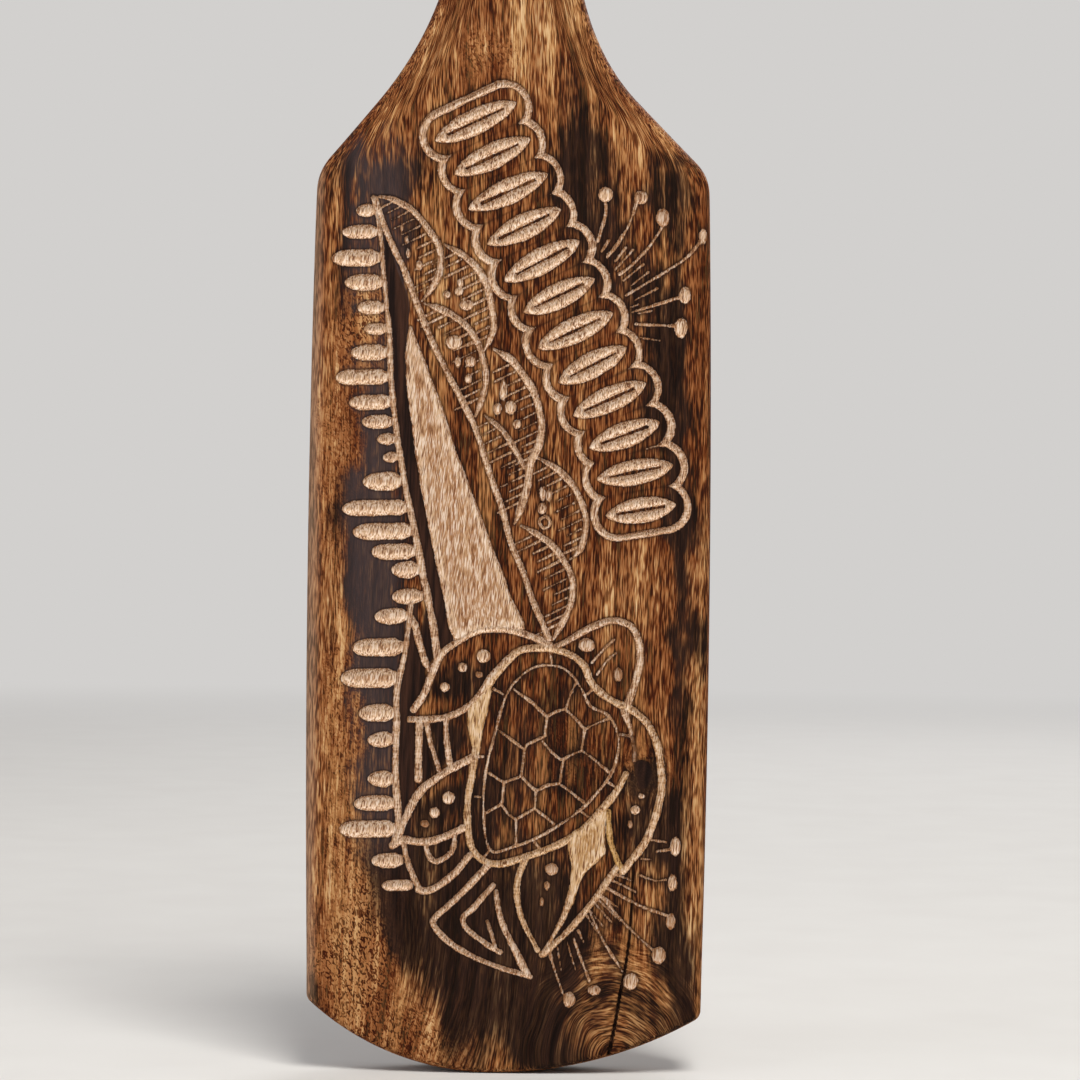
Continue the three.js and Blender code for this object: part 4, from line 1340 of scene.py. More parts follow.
    def garland(self, garland: Garland) -> None:
        """Cuts the leaves and the line round them.

        A leaf's half width is (1 - u^2)^fullness of the widest at the share u of its half
        length. The line keeps one distance from bars with round ends round the leaves.

        Args:
            garland: Its sizes.
        """
        spine = smooth_path(garland.spine, 12)
        steps = walked(spine)
        index = self.near(spine, garland.half_length + 9)
        x, z = self.x[index], self.z[index]
        envelope = np.full(len(index), -np.inf)
        turn = np.zeros(len(index))
        for number in range(garland.leaves):
            share = number / (garland.leaves - 1)
            place = share * steps[-1]
            middle, ahead, behind = (read_off(place + step, steps, spine) for step in (0, 3, -3))
            way = (ahead - behind) / np.linalg.norm(ahead - behind)
            shrunk = 1 - garland.taper * share - garland.alternation * (number % 2)
            length = garland.half_length * shrunk
            u = -(x - middle[0]) * way[1] + (z - middle[1]) * way[0]
            v = (x - middle[0]) * way[0] + (z - middle[1]) * way[1]
            width = np.maximum(0, 1 - (u / length) ** 2) ** garland.fullness
            lens = garland.half_width * width - abs(v)
            lens = np.where(abs(u) < length, lens, length - abs(u) - abs(v))
            veined = abs(u) < length * garland.vein_share
            vein = np.where(veined, abs(v) - garland.vein_width / 2, -UNCUT)
            self.gouge(index, np.minimum(lens, vein), u, garland.leaf_depth, garland.leaf_wall)
            beyond = np.maximum(0, abs(u) - length + garland.half_width)
            reach = garland.half_width - np.hypot(beyond, v)
            around = np.sign(u) * v + np.arctan2(v, beyond + 1) * 4
            turn = np.where(reach > envelope, around, turn)
            envelope = np.maximum(envelope, reach)
        inside = garland.line_width / 2 - abs(envelope + garland.gap + garland.line_width / 2)
        self.gouge(index, inside, turn, garland.line_depth, garland.line_wall)

    def hatching(self, scallop: Line, hatching: Hatching) -> None:
        """Scratches short slanting lines at one pitch inside a scallop, down to the left.

        Args:
            scallop: The line that they start from.
            hatching: Their sizes.
        """
        curve = smooth_path(scallop.path)
        steps = walked(curve)
        count = int(steps[-1] * hatching.share / hatching.pitch)
        way = np.array([math.cos(hatching.slope), math.sin(hatching.slope)])
        for number in range(count):
            place = steps[-1] * (hatching.first + hatching.share * number / count)
            start = read_off(place, steps, curve) - hatching.gap * way
            length = hatching.lengths[(number + len(scallop.path)) % len(hatching.lengths)]
            ends = (tuple(start), tuple(start - length * way))
            self.line(Line(ends, hatching.width, hatching.end_width, hatching.depth, straight=True))

    def carve(self) -> None:
        """Cuts the whole design."""
        self.patch(SAIL_PANEL)
        for patch in TURTLE_PATCHES:
            self.patch(patch)
        for tooth in COMB:
            self.tooth(*tooth)
        for line in (*SAIL_LINES, *SCALLOPS, RING, *TURTLE_LINES):
            self.line(line)
        for scallop in SCALLOPS:
            self.hatching(scallop, Hatching())
        for dot in SCALLOP_DOTS + TURTLE_DOTS + STAMEN_HEADS:
            self.dot(dot)
        for path in SHELL_PLATES:
            self.line(Line(path, width=0.85, depth=0.45, straight=True, tone=0.85))
        for path in STAMENS:
            self.line(Line(path, width=0.9, depth=0.45, tone=0.85))
        for path in RAYS:
            self.line(Line(path, 0.75, 0.55, depth=0.35, straight=True, tone=0.7))
        self.garland(Garland())

    def age(self, rings: Rings) -> None:
        """Adds the burnt and bare tones, a darkening round each cut, the crack, and the hollows of a
        hand-worked face.

        Args:
            rings: The growth rings that show as arches.
        """
        self.scorch = self.shaded(SCORCHES)
        self.glow = self.shaded(GLOWS)
        self.curl = self.shaded(CURLS)
        self.ring = rings.radius(self.x, self.z)
        for border in CHARRED:
            index, inside = self.bordered(border)
            black = self.CHARRED_BLACK * smoothstep(-0.6, 0.4, inside)
            self.scorch[index] = np.maximum(self.scorch[index], black)
        # Darker round each cut, up to 2.5 mm outside it, carried in the scorch.
        halo = smoothstep(-2.5, -0.2, self.cut) * self.HALO
        self.scorch = 1 - (1 - self.scorch) * (1 - halo)
        index, inside, _ = self.traced(CRACK)
        split = smoothstep(-0.25, 0.1, inside)
        self.scorch[index] = np.maximum(self.scorch[index], self.CRACK_BLACK * split)
        self.depth[index] = np.maximum(self.depth[index], CRACK.depth * split)
        self.depth = self.depth + self.HOLLOWS * lattice_noise(self.x / 13, self.z / 37, 8)


@dataclass(frozen=True)
class Grain:
    """How the plank's fibres run: upward, round a knot, leaning at the foot, along the shoulders."""

    sway: float = 1.5
    sway_length: float = 55.0
    knot: Span = (41.0, 91.0)
    knot_size: Span = (6.0, 11.0)
    knot_push: float = 0.65
    leans: tuple[tuple[float, float, float], ...] = ((-22.0, 20.0, 0.4), (22.0, 13.0, 0.75))
    lean_top: float = 48.0
    edge_band: float = 13.0
    edge_shift: float = 14.0

    def across(self, outline: Outline, x: Array, z: Array) -> Array:
        """A coordinate that stays the same along a fibre.

        It is x, plus a slow wave, less a bulge round the knot, plus leans (middle, width and
        slope) that grow with the square of the depth, plus how far the outline has drawn in.

        Args:
            outline: The plank's outline.
            x: First coordinates.
            z: Second coordinates.

        Returns:
            The coordinate at each point, in millimetres.
        """
        value = x + self.sway * np.sin(z / self.sway_length + 1)
        beside_knot = x - self.knot[0]
        kx, kz = beside_knot / self.knot_size[0], (z - self.knot[1]) / self.knot_size[1]
        value = value - self.knot_push * beside_knot * np.exp(-(kx**2) - kz**2)
        below = np.maximum(0, self.lean_top - z) ** 2 / (2 * self.lean_top)
        for middle, width, slope in self.leans:
            value = value + slope * below * np.exp(-(((x - middle) / width) ** 2))
        for side in (outline.left, outline.right):
            edge = outline.side(side).points
            reach = np.interp(z, edge[:, 1], edge[:, 0])
            drawn_in = np.maximum(0, outline.shoulder[0] - reach)
            shift = self.edge_shift * (1 - np.exp(-drawn_in / self.edge_shift))
            beside = smoothstep(reach - self.edge_band, reach - 1, side.sign * x)
            value = value + side.sign * shift * beside
        return value


# Finishes


class Socket:
    """One value or link inside a material, with the arithmetic that the finishes use."""

    def __init__(self, maker: "NodeMaker", link: bpy.types.NodeSocket) -> None:
        """Wraps a node's output."""
        self.maker = maker
        self.link = link

    def __add__(self, other: "Socket | float") -> "Socket":
        """Sum."""
        return self.maker.math("ADD", self, other)

    def __radd__(self, other: float) -> "Socket":
        """Sum, from the right."""
        return self.maker.math("ADD", other, self)

    def __sub__(self, other: "Socket | float") -> "Socket":
        """Difference."""
        return self.maker.math("SUBTRACT", self, other)

    def __rsub__(self, other: float) -> "Socket":
        """Difference, from the right."""
        return self.maker.math("SUBTRACT", other, self)

    def __mul__(self, other: "Socket | float") -> "Socket":
        """Product."""
        return self.maker.math("MULTIPLY", self, other)

    def __rmul__(self, other: float) -> "Socket":
        """Product, from the right."""
        return self.maker.math("MULTIPLY", other, self)

    def __truediv__(self, other: "Socket | float") -> "Socket":
        """Quotient."""
        return self.maker.math("DIVIDE", self, other)

    def step(self, low: float, high: float) -> "Socket":
        """A smooth step of this value from 0 at low to 1 at high."""
        node = self.maker.add(
            "ShaderNodeMapRange",
            {"interpolation_type": "SMOOTHSTEP"},
            {"Value": self, "From Min": low, "From Max": high},
        )
        return Socket(self.maker, node.outputs["Result"])


def colour(code: str) -> tuple[float, float, float, float]:
    """The linear colour of a six-digit code: the sRGB curve undone in each channel.

    Args:
        code: Two digits each for red, green and blue.

    Returns:
        The colour, opaque.
    """
    parts = [int(code[i : i + 2], 16) / 255 for i in (0, 2, 4)]
    linear = [c / 12.92 if c <= 0.04045 else ((c + 0.055) / 1.055) ** 2.4 for c in parts]
    return (*linear, 1.0)


class NodeMaker:
    """Builds the node tree of one material."""

    def __init__(self, name: str) -> None:
        """Starts a material with an empty tree."""
        self.material = bpy.data.materials.new(name)
        self.material.use_nodes = True
        self.tree = self.material.node_tree
        self.tree.nodes.clear()

    def add(self, kind: str, settings: dict | None = None, inputs: dict | None = None) -> bpy.types.Node:
        """Adds one node.

        Args:
            kind: The node's type.
            settings: Its properties, or a ramp's stops as a list of place and colour.
            inputs: Values or links of its sockets, by name or number.

        Returns:
            The node.
        """
        node = self.tree.nodes.new(kind)
        for key, value in (settings or {}).items():
            if key == "stops":
                ramp = node.color_ramp
                while len(ramp.elements) < len(value):
                    ramp.elements.new(0.5)
                for element, (place, shade) in zip(ramp.elements, value):
                    element.position = place
                    element.color = shade
            else:
                setattr(node, key, value)
        for key, value in (inputs or {}).items():
            socket = node.inputs[key]
            if isinstance(value, Socket):
                self.tree.links.new(value.link, socket)
            else:
                socket.default_value = value
        return node

    def math(self, operation: str, first: Socket | float, second: Socket | float) -> Socket:
        """A Math node on two values."""
        node = self.add("ShaderNodeMath", {"operation": operation}, {0: first, 1: second})
        return Socket(self, node.outputs[0])

    def mix(self, factor: Socket | float, first: Socket | tuple, second: Socket | tuple) -> Socket:
        """A colour between two: the first at factor 0, the second at 1."""
        node = self.add(
            "ShaderNodeMix",
            {"data_type": "RGBA", "clamp_factor": True},
            {0: factor, 6: first, 7: second},
        )
        return Socket(self, node.outputs[2])

    def ramp(self, value: Socket, stops: list[tuple[float, tuple]]) -> Socket:
        """A colour that follows a value."""
        node = self.add("ShaderNodeValToRGB", {"stops": stops}, {"Fac": value})
        return Socket(self, node.outputs["Color"])

    def attribute(self, name: str) -> Socket:
        """A number kept on the mesh."""
        node = self.add("ShaderNodeAttribute", {"attribute_name": name})
        return Socket(self, node.outputs["Fac"])

    def place(self) -> tuple[Socket, Socket, Socket]:
        """The point's own coordinates in the object, in millimetres.

        Returns:
            The coordinates right, back and up.
        """
        where = Socket(self, self.add("ShaderNodeTexCoord").outputs["Object"])
        parts = self.add("ShaderNodeSeparateXYZ", None, {0: where})
        return tuple(Socket(self, out) * (1 / MM) for out in parts.outputs)

    def at(self, x: Socket | float, y: Socket | float, z: Socket | float) -> Socket:
        """A vector from three values."""
        node = self.add("ShaderNodeCombineXYZ", None, {0: x, 1: y, 2: z})
        return Socket(self, node.outputs[0])

    def noise(
        self, where: Socket, detail: float = 2.0, roughness: float = 0.5, distortion: float = 0.0
    ) -> Socket:
        """Noise from 0 to 1 with cells of one unit.

        Args:
            where: The place, in cells.
            detail: Number of finer layers.
            roughness: Their strength.
            distortion: How far it is swirled.

        Returns:
            The noise.
        """
        settings = {"Scale": 1.0, "Detail": detail, "Roughness": roughness, "Distortion": distortion}
        node = self.add("ShaderNodeTexNoise", None, {"Vector": where, **settings})
        return Socket(self, node.outputs[0])

    def bump(self, height: Socket, distance: float, strength: float = 1.0) -> Socket:
        """A Bump node for a height from 0 to 1 that stands for a distance in metres."""
        inputs = {"Height": height, "Distance": distance, "Strength": strength}
        return Socket(self, self.add("ShaderNodeBump", None, inputs).outputs["Normal"])

    def surface(self, inputs: dict) -> Material:
        """Ends the tree in a Principled shader.

        Args:
            inputs: Values or links of the shader's sockets, by name.

        Returns:
            The material.
        """
        shader = self.add("ShaderNodeBsdfPrincipled", None, inputs)
        self.add("ShaderNodeOutputMaterial", None, {"Surface": Socket(self, shader.outputs[0])})
        return self.material


@dataclass(frozen=True)
class Timber:
    """Oiled and scorched hardwood: growth bands, streaks, fine fibres and, where cut, bare wood."""

    name: str
    carved: bool = False
    shade: float = 0.0
    band: float = 9.0
    band_length: float = 170.0
    streak: float = 1.7
    streak_length: float = 28.0
    fibre: float = 0.42
    fibre_length: float = 4.4
    arch: float = 2.1
    arch_fibre_length: float = 3.2
    arch_edge: Span = (36.0, 24.0)
    curl: Span = (0.85, 1.5)
    curl_swirl: float = 1.4
    pore: Span = (0.3, 3.6)
    torn: tuple[float, float, float] = (0.6, 1.4, 9.0)
    gloss: float = 0.06
    ramp: tuple[tuple[float, str], ...] = (
        (0.02, "180802"), (0.20, "431c09"), (0.40, "7a4523"),
        (0.60, "a86f42"), (0.80, "cb9c69"), (1.00, "e0bd90"),
    )
    yellow_hue: str = "b4844e"
    red_hue: str = "6b3012"
    dark_pore: str = "35150a"
    pale: tuple[str, str] = ("aa7b56", "bf946d")
    painted_highlight: str = "eac9a7"
    highlight: str = "f2decb"
    honey: str = "d2a656"
    pit: str = "683b22"
    toasted_and_painted_shade: str = "5c3620"
    dull: str = "8a5a34"
    soot: tuple[str, str] = ("120a07", "2e1e17")
    slate: str = "453b3c"
    coal: tuple[str, str] = ("1a100d", "42291e")
    painted_rim_shadow: str = "1f100a"
    painted_sheen_edge: str = "b9977a"

    def grain(self, maker: NodeMaker) -> tuple[Socket, Socket, Socket]:
        """Bands, streaks and fibres: noise stretched along the grain.

        On the carved plank the grain follows the mesh's own coordinate. Streaks and fibres
        follow the rings where these are near, and fibres turn into short curls where the curl
        is high. Elsewhere the grain runs along z.

        Args:
            maker: The material's builder.

        Returns:
            Bands, streaks and fibres, each from 0 to 1.
        """
        x, y, z = maker.place()
        if self.carved:
            across = maker.attribute("grain")
        else:
            across = x + (maker.noise(maker.at(x / 38, y / 38, z / 85), 1.0) - 0.5) * 14
        long = z / self.streak_length
        band = maker.noise(maker.at(across / self.band, y / self.band, z / self.band_length))
        streak = maker.noise(maker.at(across / self.streak, y / self.streak, long), 3.0, 0.6)
        fibre = maker.at(across / self.fibre, y / self.fibre, z / self.fibre_length)
        fibre = maker.noise(fibre, 1.5)
        if self.carved:
            ring = maker.attribute("ring")
            arched = ring.step(*self.arch_edge)
            arc = maker.noise(maker.at(ring / self.arch, y / self.arch, long), 3.0, 0.6)
            streak = streak + (arc - streak) * arched
            arc = maker.at(ring / self.fibre, y / self.fibre, x / self.arch_fibre_length)
            fibre = fibre + (maker.noise(arc, 1.5) - fibre) * arched
        fibre = fibre.step(0.33, 0.67)
        if self.carved:
            width, length = self.curl
            curl = maker.at((x + z * 0.2) / width, y / width, z / length)
            curl = maker.noise(curl, 0.0, distortion=self.curl_swirl).step(0.36, 0.56)
            fibre = fibre + (curl - fibre) * maker.attribute("curl")
        return band, streak, fibre

    def wood(
        self, maker: NodeMaker, band: Socket, streak: Socket, fibre: Socket, lift: Socket | float
    ) -> Socket:
        """The oiled surface: a ramp over the sum of bands, streaks and fibres, with dark pores.

        Args:
            maker: The material's builder.
            band: The growth bands.
            streak: The streaks.
            fibre: The fibres.
            lift: How much paler it is.

        Returns:
            The colour.
        """
        tone = (band - 0.5) * 0.8 + (streak - 0.5) + (fibre - 0.5) * 0.5 + lift
        tone = tone + (0.3 - self.shade)
        base = maker.ramp(tone, [(place, colour(code)) for place, code in self.ramp])
        hue = maker.noise(maker.at(streak * 9, band * 9, fibre * 0.5), 1.0)
        base = maker.mix(hue.step(0.5, 0.7) * 0.25, base, colour(self.yellow_hue))
        base = maker.mix(hue.step(0.5, 0.3) * 0.4, base, colour(self.red_hue))
        return maker.mix(fibre.step(0.32, 0.04) * 0.5, base, colour(self.dark_pore))

    def bare(self, maker: NodeMaker, streak: Socket) -> tuple[Socket, Socket]:
        """Freshly cut wood: tan with pale fibres and dark pores, a painted highlight inside each cut,
        and at its rim toasted wood with painted shade.

        Args:
            maker: The material's builder.
            streak: The streaks of the grain.

        Returns:
            The colour, and the grit that its relief follows.
        """
        stroke, cut, tint, tone = map(maker.attribute, ("stroke", "cut", "tint", "tone"))
        x, y, z = maker.place()
        width, length = self.pore
        pore = maker.noise(maker.at((x - z * 0.12) / width, y / width, z / length))
        along, inward, length = self.torn
        torn = maker.noise(maker.at(stroke / along, cut / inward, z / length), 1.5)
        grit = pore * 0.7 + torn * 0.3
        # Painted highlight on the floor of each cut, from 0.3 to about 3 mm inside its edge; it also
        # strengthens the grit.
        painted_highlight = cut.step(0.3, 0.8) * cut.step(3.2, 1.6)
        pale = maker.mix(streak.step(0.32, 0.68), *map(colour, self.pale))
        pale = maker.mix(painted_highlight * 0.5, pale, colour(self.painted_highlight))
        rough = 0.75 + painted_highlight * 0.15
        pale = maker.mix(grit.step(0.5, 0.4) * rough, pale, colour(self.highlight))
        pale = maker.mix(tint * 0.6, pale, colour(self.honey))
        pale = maker.mix(grit.step(0.52, 0.61) * rough, pale, colour(self.pit))
        # The cut's rim, up to 0.3 mm in, is darker: partly toasted wood, partly painted shade on its
        # wall.
        pale = maker.mix(cut.step(0.3, 0.0) * 0.6, pale, colour(self.toasted_and_painted_shade))
        return maker.mix(1 - tone, pale, colour(self.dull)), grit

    def material(self) -> Material:
        """Makes the material.

        Carved wood is oiled wood that soot covers where it is burnt: where 1.4 times the
        scorch is more than the noise of blotches, streaks, bands and fibres. Round each cut it
        is darker, just outside it by a painted shadow of the rim, and within the cut's uneven edge
        it is bare.

        Returns:
            The material.
        """
        maker = NodeMaker(self.name)
        band, streak, fibre = self.grain(maker)
        ridges = fibre * 0.7 + streak * 0.3
        if not self.carved:
            return maker.surface(
                {
                    "Base Color": self.wood(maker, band, streak, fibre, 0.0),
                    "Roughness": 0.6 - (fibre - 0.5) * 0.2,
                    "Specular IOR Level": self.gloss,
                    "Normal": maker.bump(ridges, 0.00022, 0.8),
                }
            )
        scorch, glow, cut = map(maker.attribute, ("scorch", "glow", "cut"))
        base = self.wood(maker, band, streak, fibre, glow * 0.3)
        x, y, z = maker.place()
        blotch = maker.noise(maker.at(x / 6, y / 6, z / 9), 3.0, 0.6)
        wear_and_sheen = (blotch - 0.5) + (streak - 0.5) * 1.1 + (band - 0.5) * 0.7 + (fibre - 0.5) * 0.2
        burnt = (scorch * 1.4 - wear_and_sheen).step(0.22, 1.16)
        slate = x.step(-26.0, -38.0) * x.step(-53.0, -46.0) * (z + HANGER_HEIGHT).step(55.0, 80.0)
        soot = maker.mix(streak.step(0.34, 0.66), *map(colour, self.soot))
        soot = maker.mix(slate * (0.4 + 0.6 * streak), soot, colour(self.slate))
        base = maker.mix(burnt * 0.93, base, soot)
        coal = maker.mix(streak.step(0.35, 0.7), *map(colour, self.coal))
        base = maker.mix(scorch.step(1.02, 1.15) * 0.96, base, coal)
        # Painted shadow of each cut's rim, in a narrow band just outside the cut.
        base = maker.mix(cut.step(-0.8, -0.05) * 0.6, base, colour(self.painted_rim_shadow))
        # Paler left edge: a painted sheen of the light from the left.
        wear_and_sheen = x.step(-55.5, -59.5) * (0.25 + 0.4 * fibre)
        base = maker.mix(wear_and_sheen, base, colour(self.painted_sheen_edge))
        edge = maker.noise(maker.at(x / 0.6, y / 0.6, z / 1.0), 1.0)
        mask = (cut + (edge - 0.5) * 0.7).step(-0.03, 0.1)
        bare, grit = self.bare(maker, streak)
        base = maker.mix(mask, base, bare)
        height = ridges + ((1 - grit) * 1.6 - ridges) * mask
        return maker.surface(
            {
                "Base Color": base,
                "Roughness": 0.55 - (fibre - 0.5) * 0.16 + mask * 0.2,
                "Specular IOR Level": self.gloss,
                "Normal": maker.bump(height, 0.00024, 0.9),
            }
        )


@dataclass(frozen=True)
class WedgeWood:
    """Pale hardwood of the tenon's wedge, fine straight grain along z."""

    name: str = "wedge_wood"

    def material(self) -> Material:
        """Makes the material.

        Returns:
            The material.
        """
        maker = NodeMaker(self.name)
        x, y, z = maker.place()
        grain = maker.noise(maker.at(x / 0.35, y / 0.35, z / 9), 3.0, 0.6)
        base = maker.ramp(grain, [(0.3, colour("9a7143")), (0.7, colour("d3ab76"))])
        return maker.surface(
            {
                "Base Color": base,
                "Roughness": 0.55 + grain * 0.2,
                "Normal": maker.bump(grain, 0.0001, 0.6),
            }
        )


@dataclass(frozen=True)
class PlatedSteel:
    """Yellowish plated steel with faint rolling lines and cloudy tarnish."""

    name: str = "plated_steel"
    light: str = "cdbb8c"
    dull: str = "8d7c58"

    def material(self) -> Material:
        """Makes the material.

        Returns:
            The material.
        """
        maker = NodeMaker(self.name)
        x, y, z = maker.place()
        cloud = maker.noise(maker.at(x / 3, y / 3, z / 3), 4.0, 0.6)
        lines = maker.noise(maker.at(x / 14, y / 0.2, z / 0.2), 2.0)
        base = maker.mix(cloud.step(0.4, 0.75), colour(self.light), colour(self.dull))
        return maker.surface(
            {
                "Base Color": base,
                "Metallic": 1.0,
                "Roughness": 0.28 + cloud * 0.25,
                "Normal": maker.bump(lines * 0.5 + cloud * 0.5, 0.00004, 0.5),
            }
        )


def dress(piece: Object, material: Material) -> None:
    """Gives a piece one material in place of those it has."""
    piece.data.materials.clear()
    piece.data.materials.append(material)


# Sub-assemblies


@dataclass
class Plank:
    """Blade, neck and shaft: one plank, made in stretches that meet without a seam."""

    outline: Outline = Outline()
    pocket: Pocket = Pocket()
    cell: float = 0.38
    straight_start: float = 42.0
    seams: tuple[float, ...] = (95.0, 163.0, 231.0)
    blade_top: float = 300.0
    neck_rows: int = 260
    neck_columns: int = 96

    def relief(self, shell: Shell, carved: bool) -> dict[str, Pair]:
        """Carves and ages the front of a shell, and runs the grain through it.

        Args:
            shell: The shell, whose surface is moved.
            carved: Whether the design reaches this shell.

        Returns:
            Each field on the grid's and the rings' points, by name.
        """
        grid, rings = shell.grid, shell.ring_points
        x = np.concatenate([grid[..., 0].ravel(), rings[..., 0].ravel()])
        z = np.concatenate([grid[..., 2].ravel(), rings[..., 2].ravel()])
        relief = Relief(x, z)
        if carved:
            relief.carve()
        relief.age(Rings())
        facing = np.clip(-shell.ring_normals[..., 1] * 3 - 0.9, 0, 1)
        size = grid[..., 0].size
        front = np.concatenate([np.ones(size), facing.ravel()])

        def parted(values: Array) -> Pair:
            """Values on the grid's and on the rings' points."""
            return values[:size].reshape(grid.shape[:2]), values[size:].reshape(rings.shape[:2])

        shell.press(*parted(relief.depth * front))
        y = np.concatenate([grid[..., 1].ravel(), rings[..., 1].ravel()])
        toward_front = np.clip(-y / PLANK_THICKNESS, 0, 1)
        across = Grain().across(self.outline, x, z)
        fields = {"grain": parted(x + (across - x) * toward_front)}
        for key in Relief.FIELDS:
            bare = {"cut": UNCUT, "ring": NO_RING}.get(key, 0.0)
            fields[key] = parted(getattr(relief, key) * front + bare * (1 - front))
        return fields

    def build(self) -> list[Object]:
        """Builds the stretches of the plank.

        Returns:
            The pieces, from the foot up.
        """
        columns = round(2 * self.outline.shoulder[0] / self.cell)
        count = round((self.blade_top - self.straight_start) / self.cell)
        rows = np.linspace(self.straight_start, self.blade_top, count + 1)
        foot_rows = round(self.straight_start / self.cell)
        blade = Shell(self.outline, rows, columns, foot_rows)
        fields = self.relief(blade, True)
        seams = [foot_rows + int(np.argmin(abs(rows - seam))) for seam in self.seams]
        ends = [0, *seams, blade.rows]
        names = ("blade_foot", "blade_lower", "blade_middle", "blade_upper")
        pieces = []
        for name, low, high in zip(names, ends[:-1], ends[1:]):
            pocket = self.pocket if name == "blade_upper" else None
            pieces.append(blade.piece(name, low, high, fields, pocket))
        heights = np.linspace(self.blade_top, self.outline.shaft_top, self.neck_rows)
        neck = Shell(self.outline, heights, self.neck_columns)
        pieces.append(neck.piece("neck", 0, neck.rows, self.relief(neck, False)))
        wood = Timber("scorched_wood", carved=True).material()
        for piece in pieces:
            dress(piece, wood)
            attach(piece, "root")
            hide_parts("paddle_body")
        return pieces


@dataclass
class Grip:
    """The grip block on the shaft's end, with the tenon that comes through it and its wedge."""

    plank: Outline = Outline()
    stem_length: float = 12.0
    bar_height: float = 26.0
    bar_width: float = 84.0
    end_radius: float = 11.0
    fillet_radius: float = 8.0
    tenon_width: float = 16.0
    tenon_thickness: float = 9.0
    wedge_length: float = 24.0
    wedge_top: float = 2.6
    wedge_tip: float = 1.0
    clearance: float = 0.3
    tool_above: float = 5.0
    tool_below: float = 4.0
    kerf_above: float = 2.0
    kerf_depth: Span = (-30.0, 10.0)
    ring_steps: int = 10
    stem_points: int = 24
    shelf_points: int = 10
    crown_points: int = 160
    arc_stride: int = 4

    @property
    def top(self) -> float:
        """Height of the crown."""
        return self.plank.shaft_top + self.stem_length + self.bar_height

    def outline(self, bottom: float) -> Edge:
        """The block's closed outline, anticlockwise from the bottom of its right side.

        Its direction at a corner is the middle one of its two edges, made longer so that an
        inset keeps its width. At the bottom's ends it is level, so the joint is flat.

        Args:
            bottom: Height at which the block starts.

        Returns:
            The outline.
        """
        shaft_x = self.plank.shaft_half_width
        low = self.top - self.bar_height
        end_x = self.bar_width / 2 - self.end_radius
        end_low = low + self.end_radius
        end_high = end_low + (self.bar_height - 2 * self.end_radius) / 2
        crown_edge = end_high + self.end_radius
        crown_middle = (0, 2 * self.top - end_high - self.end_radius)
        fillet_x, fillet_low = shaft_x + self.fillet_radius, low - self.fillet_radius
        quarter = math.pi / 2
        fillet = arc_edge((fillet_x, fillet_low), self.fillet_radius, math.pi, quarter)
        under = arc_edge((end_x, end_low), self.end_radius, -quarter, 0)
        over = arc_edge((end_x, end_high), self.end_radius, 0, quarter)
        stem = bezier(((shaft_x, bottom), (shaft_x, fillet_low)), self.stem_points)
        shelf = bezier(((fillet_x, low), (end_x, low)), self.shelf_points)
        crown = bezier(((end_x, crown_edge), crown_middle, (-end_x, crown_edge)), self.crown_points)
        points = np.concatenate(
            [
                stem[:-1],
                fillet.points[:: self.arc_stride][:-1],
                shelf[:-1],
                under.points[:: self.arc_stride],
                over.points[:: self.arc_stride][1:-1],
                crown[: len(crown) // 2],
            ]
        )
        mirrored = points[::-1] * np.array([-1.0, 1.0])
        points = np.concatenate([points, mirrored])
        ahead = np.roll(points, -1, axis=0) - points
        ahead /= np.linalg.norm(ahead, axis=1, keepdims=True)
        out = np.stack([ahead[:, 1], -ahead[:, 0]], axis=1)
        before = np.roll(out, 1, axis=0)
        normals = (out + before) / (1 + (out * before).sum(axis=1, keepdims=True))
        normals[0], normals[-1] = (1.0, 0.0), (-1.0, 0.0)
        return Edge(points, normals)

    def block(self, name: str, bottom: float) -> Object:
        """The block from its bottom's height, before it is cut: rings and a flat face each side."""
        points, _ = rounded(self.outline(bottom), self.plank.shaft_roundover, self.ring_steps)
        return ringed_piece(name, points)

    def bar(self, room: float) -> Object:
        """A bar with the tenon's section and some room round it, longer than the block.

        Args:
            room: Its room on each side.

        Returns:
            The bar.
        """
        wide, thick = self.tenon_width / 2 + room, self.tenon_thickness / 2 + room
        points, faces = box_points(
            (-wide, wide),
            (PLANK_MIDDLE - thick, PLANK_MIDDLE + thick),
            (self.plank.shaft_top - self.tool_below, self.top + self.tool_above),
        )
        return mesh_piece("tenon_bar", points, faces, [])

    def kerf(self) -> Object:
        """The saw kerf that the wedge fills, with its clearance.

        Returns:
            The solid that cuts it.
        """
        low = self.top - self.wedge_length - self.clearance
        points, faces = box_points((-1, 1), self.kerf_depth, (low, self.top + self.kerf_above))
        half = np.where(points[:, 2] > self.top, self.wedge_top / 2, self.wedge_tip / 2)
        points[:, 0] *= half + self.clearance
        return mesh_piece("kerf", points, faces, [])

    def build(self) -> list[Object]:
        """Builds grip block and tenon, and dresses the wedge's CAD node.

        Returns:
            The block and the tenon.
        """
        grip = self.block("grip_block", self.plank.shaft_top + self.clearance)
        cut_with(grip, self.bar(self.clearance), Boolean.REMOVE)
        tenon = self.block("shaft_tenon", self.plank.shaft_top)
        cut_with(tenon, self.bar(0.0), Boolean.KEEP_WITHIN)
        cut_with(tenon, self.kerf(), Boolean.REMOVE)
        for piece in (grip, tenon):
            piece.data.set_sharp_from_angle(angle=SMOOTH_ANGLE)
            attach(piece, "root")
        dress(grip, Timber("grip_wood", shade=0.05).material())
        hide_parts("grip_crossbar")
        dress(tenon, Timber("tenon_wood", shade=-0.05).material())
        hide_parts("paddle_body")
        dress(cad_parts["tenon_wedge"], WedgeWood().material())
        return [grip, tenon]


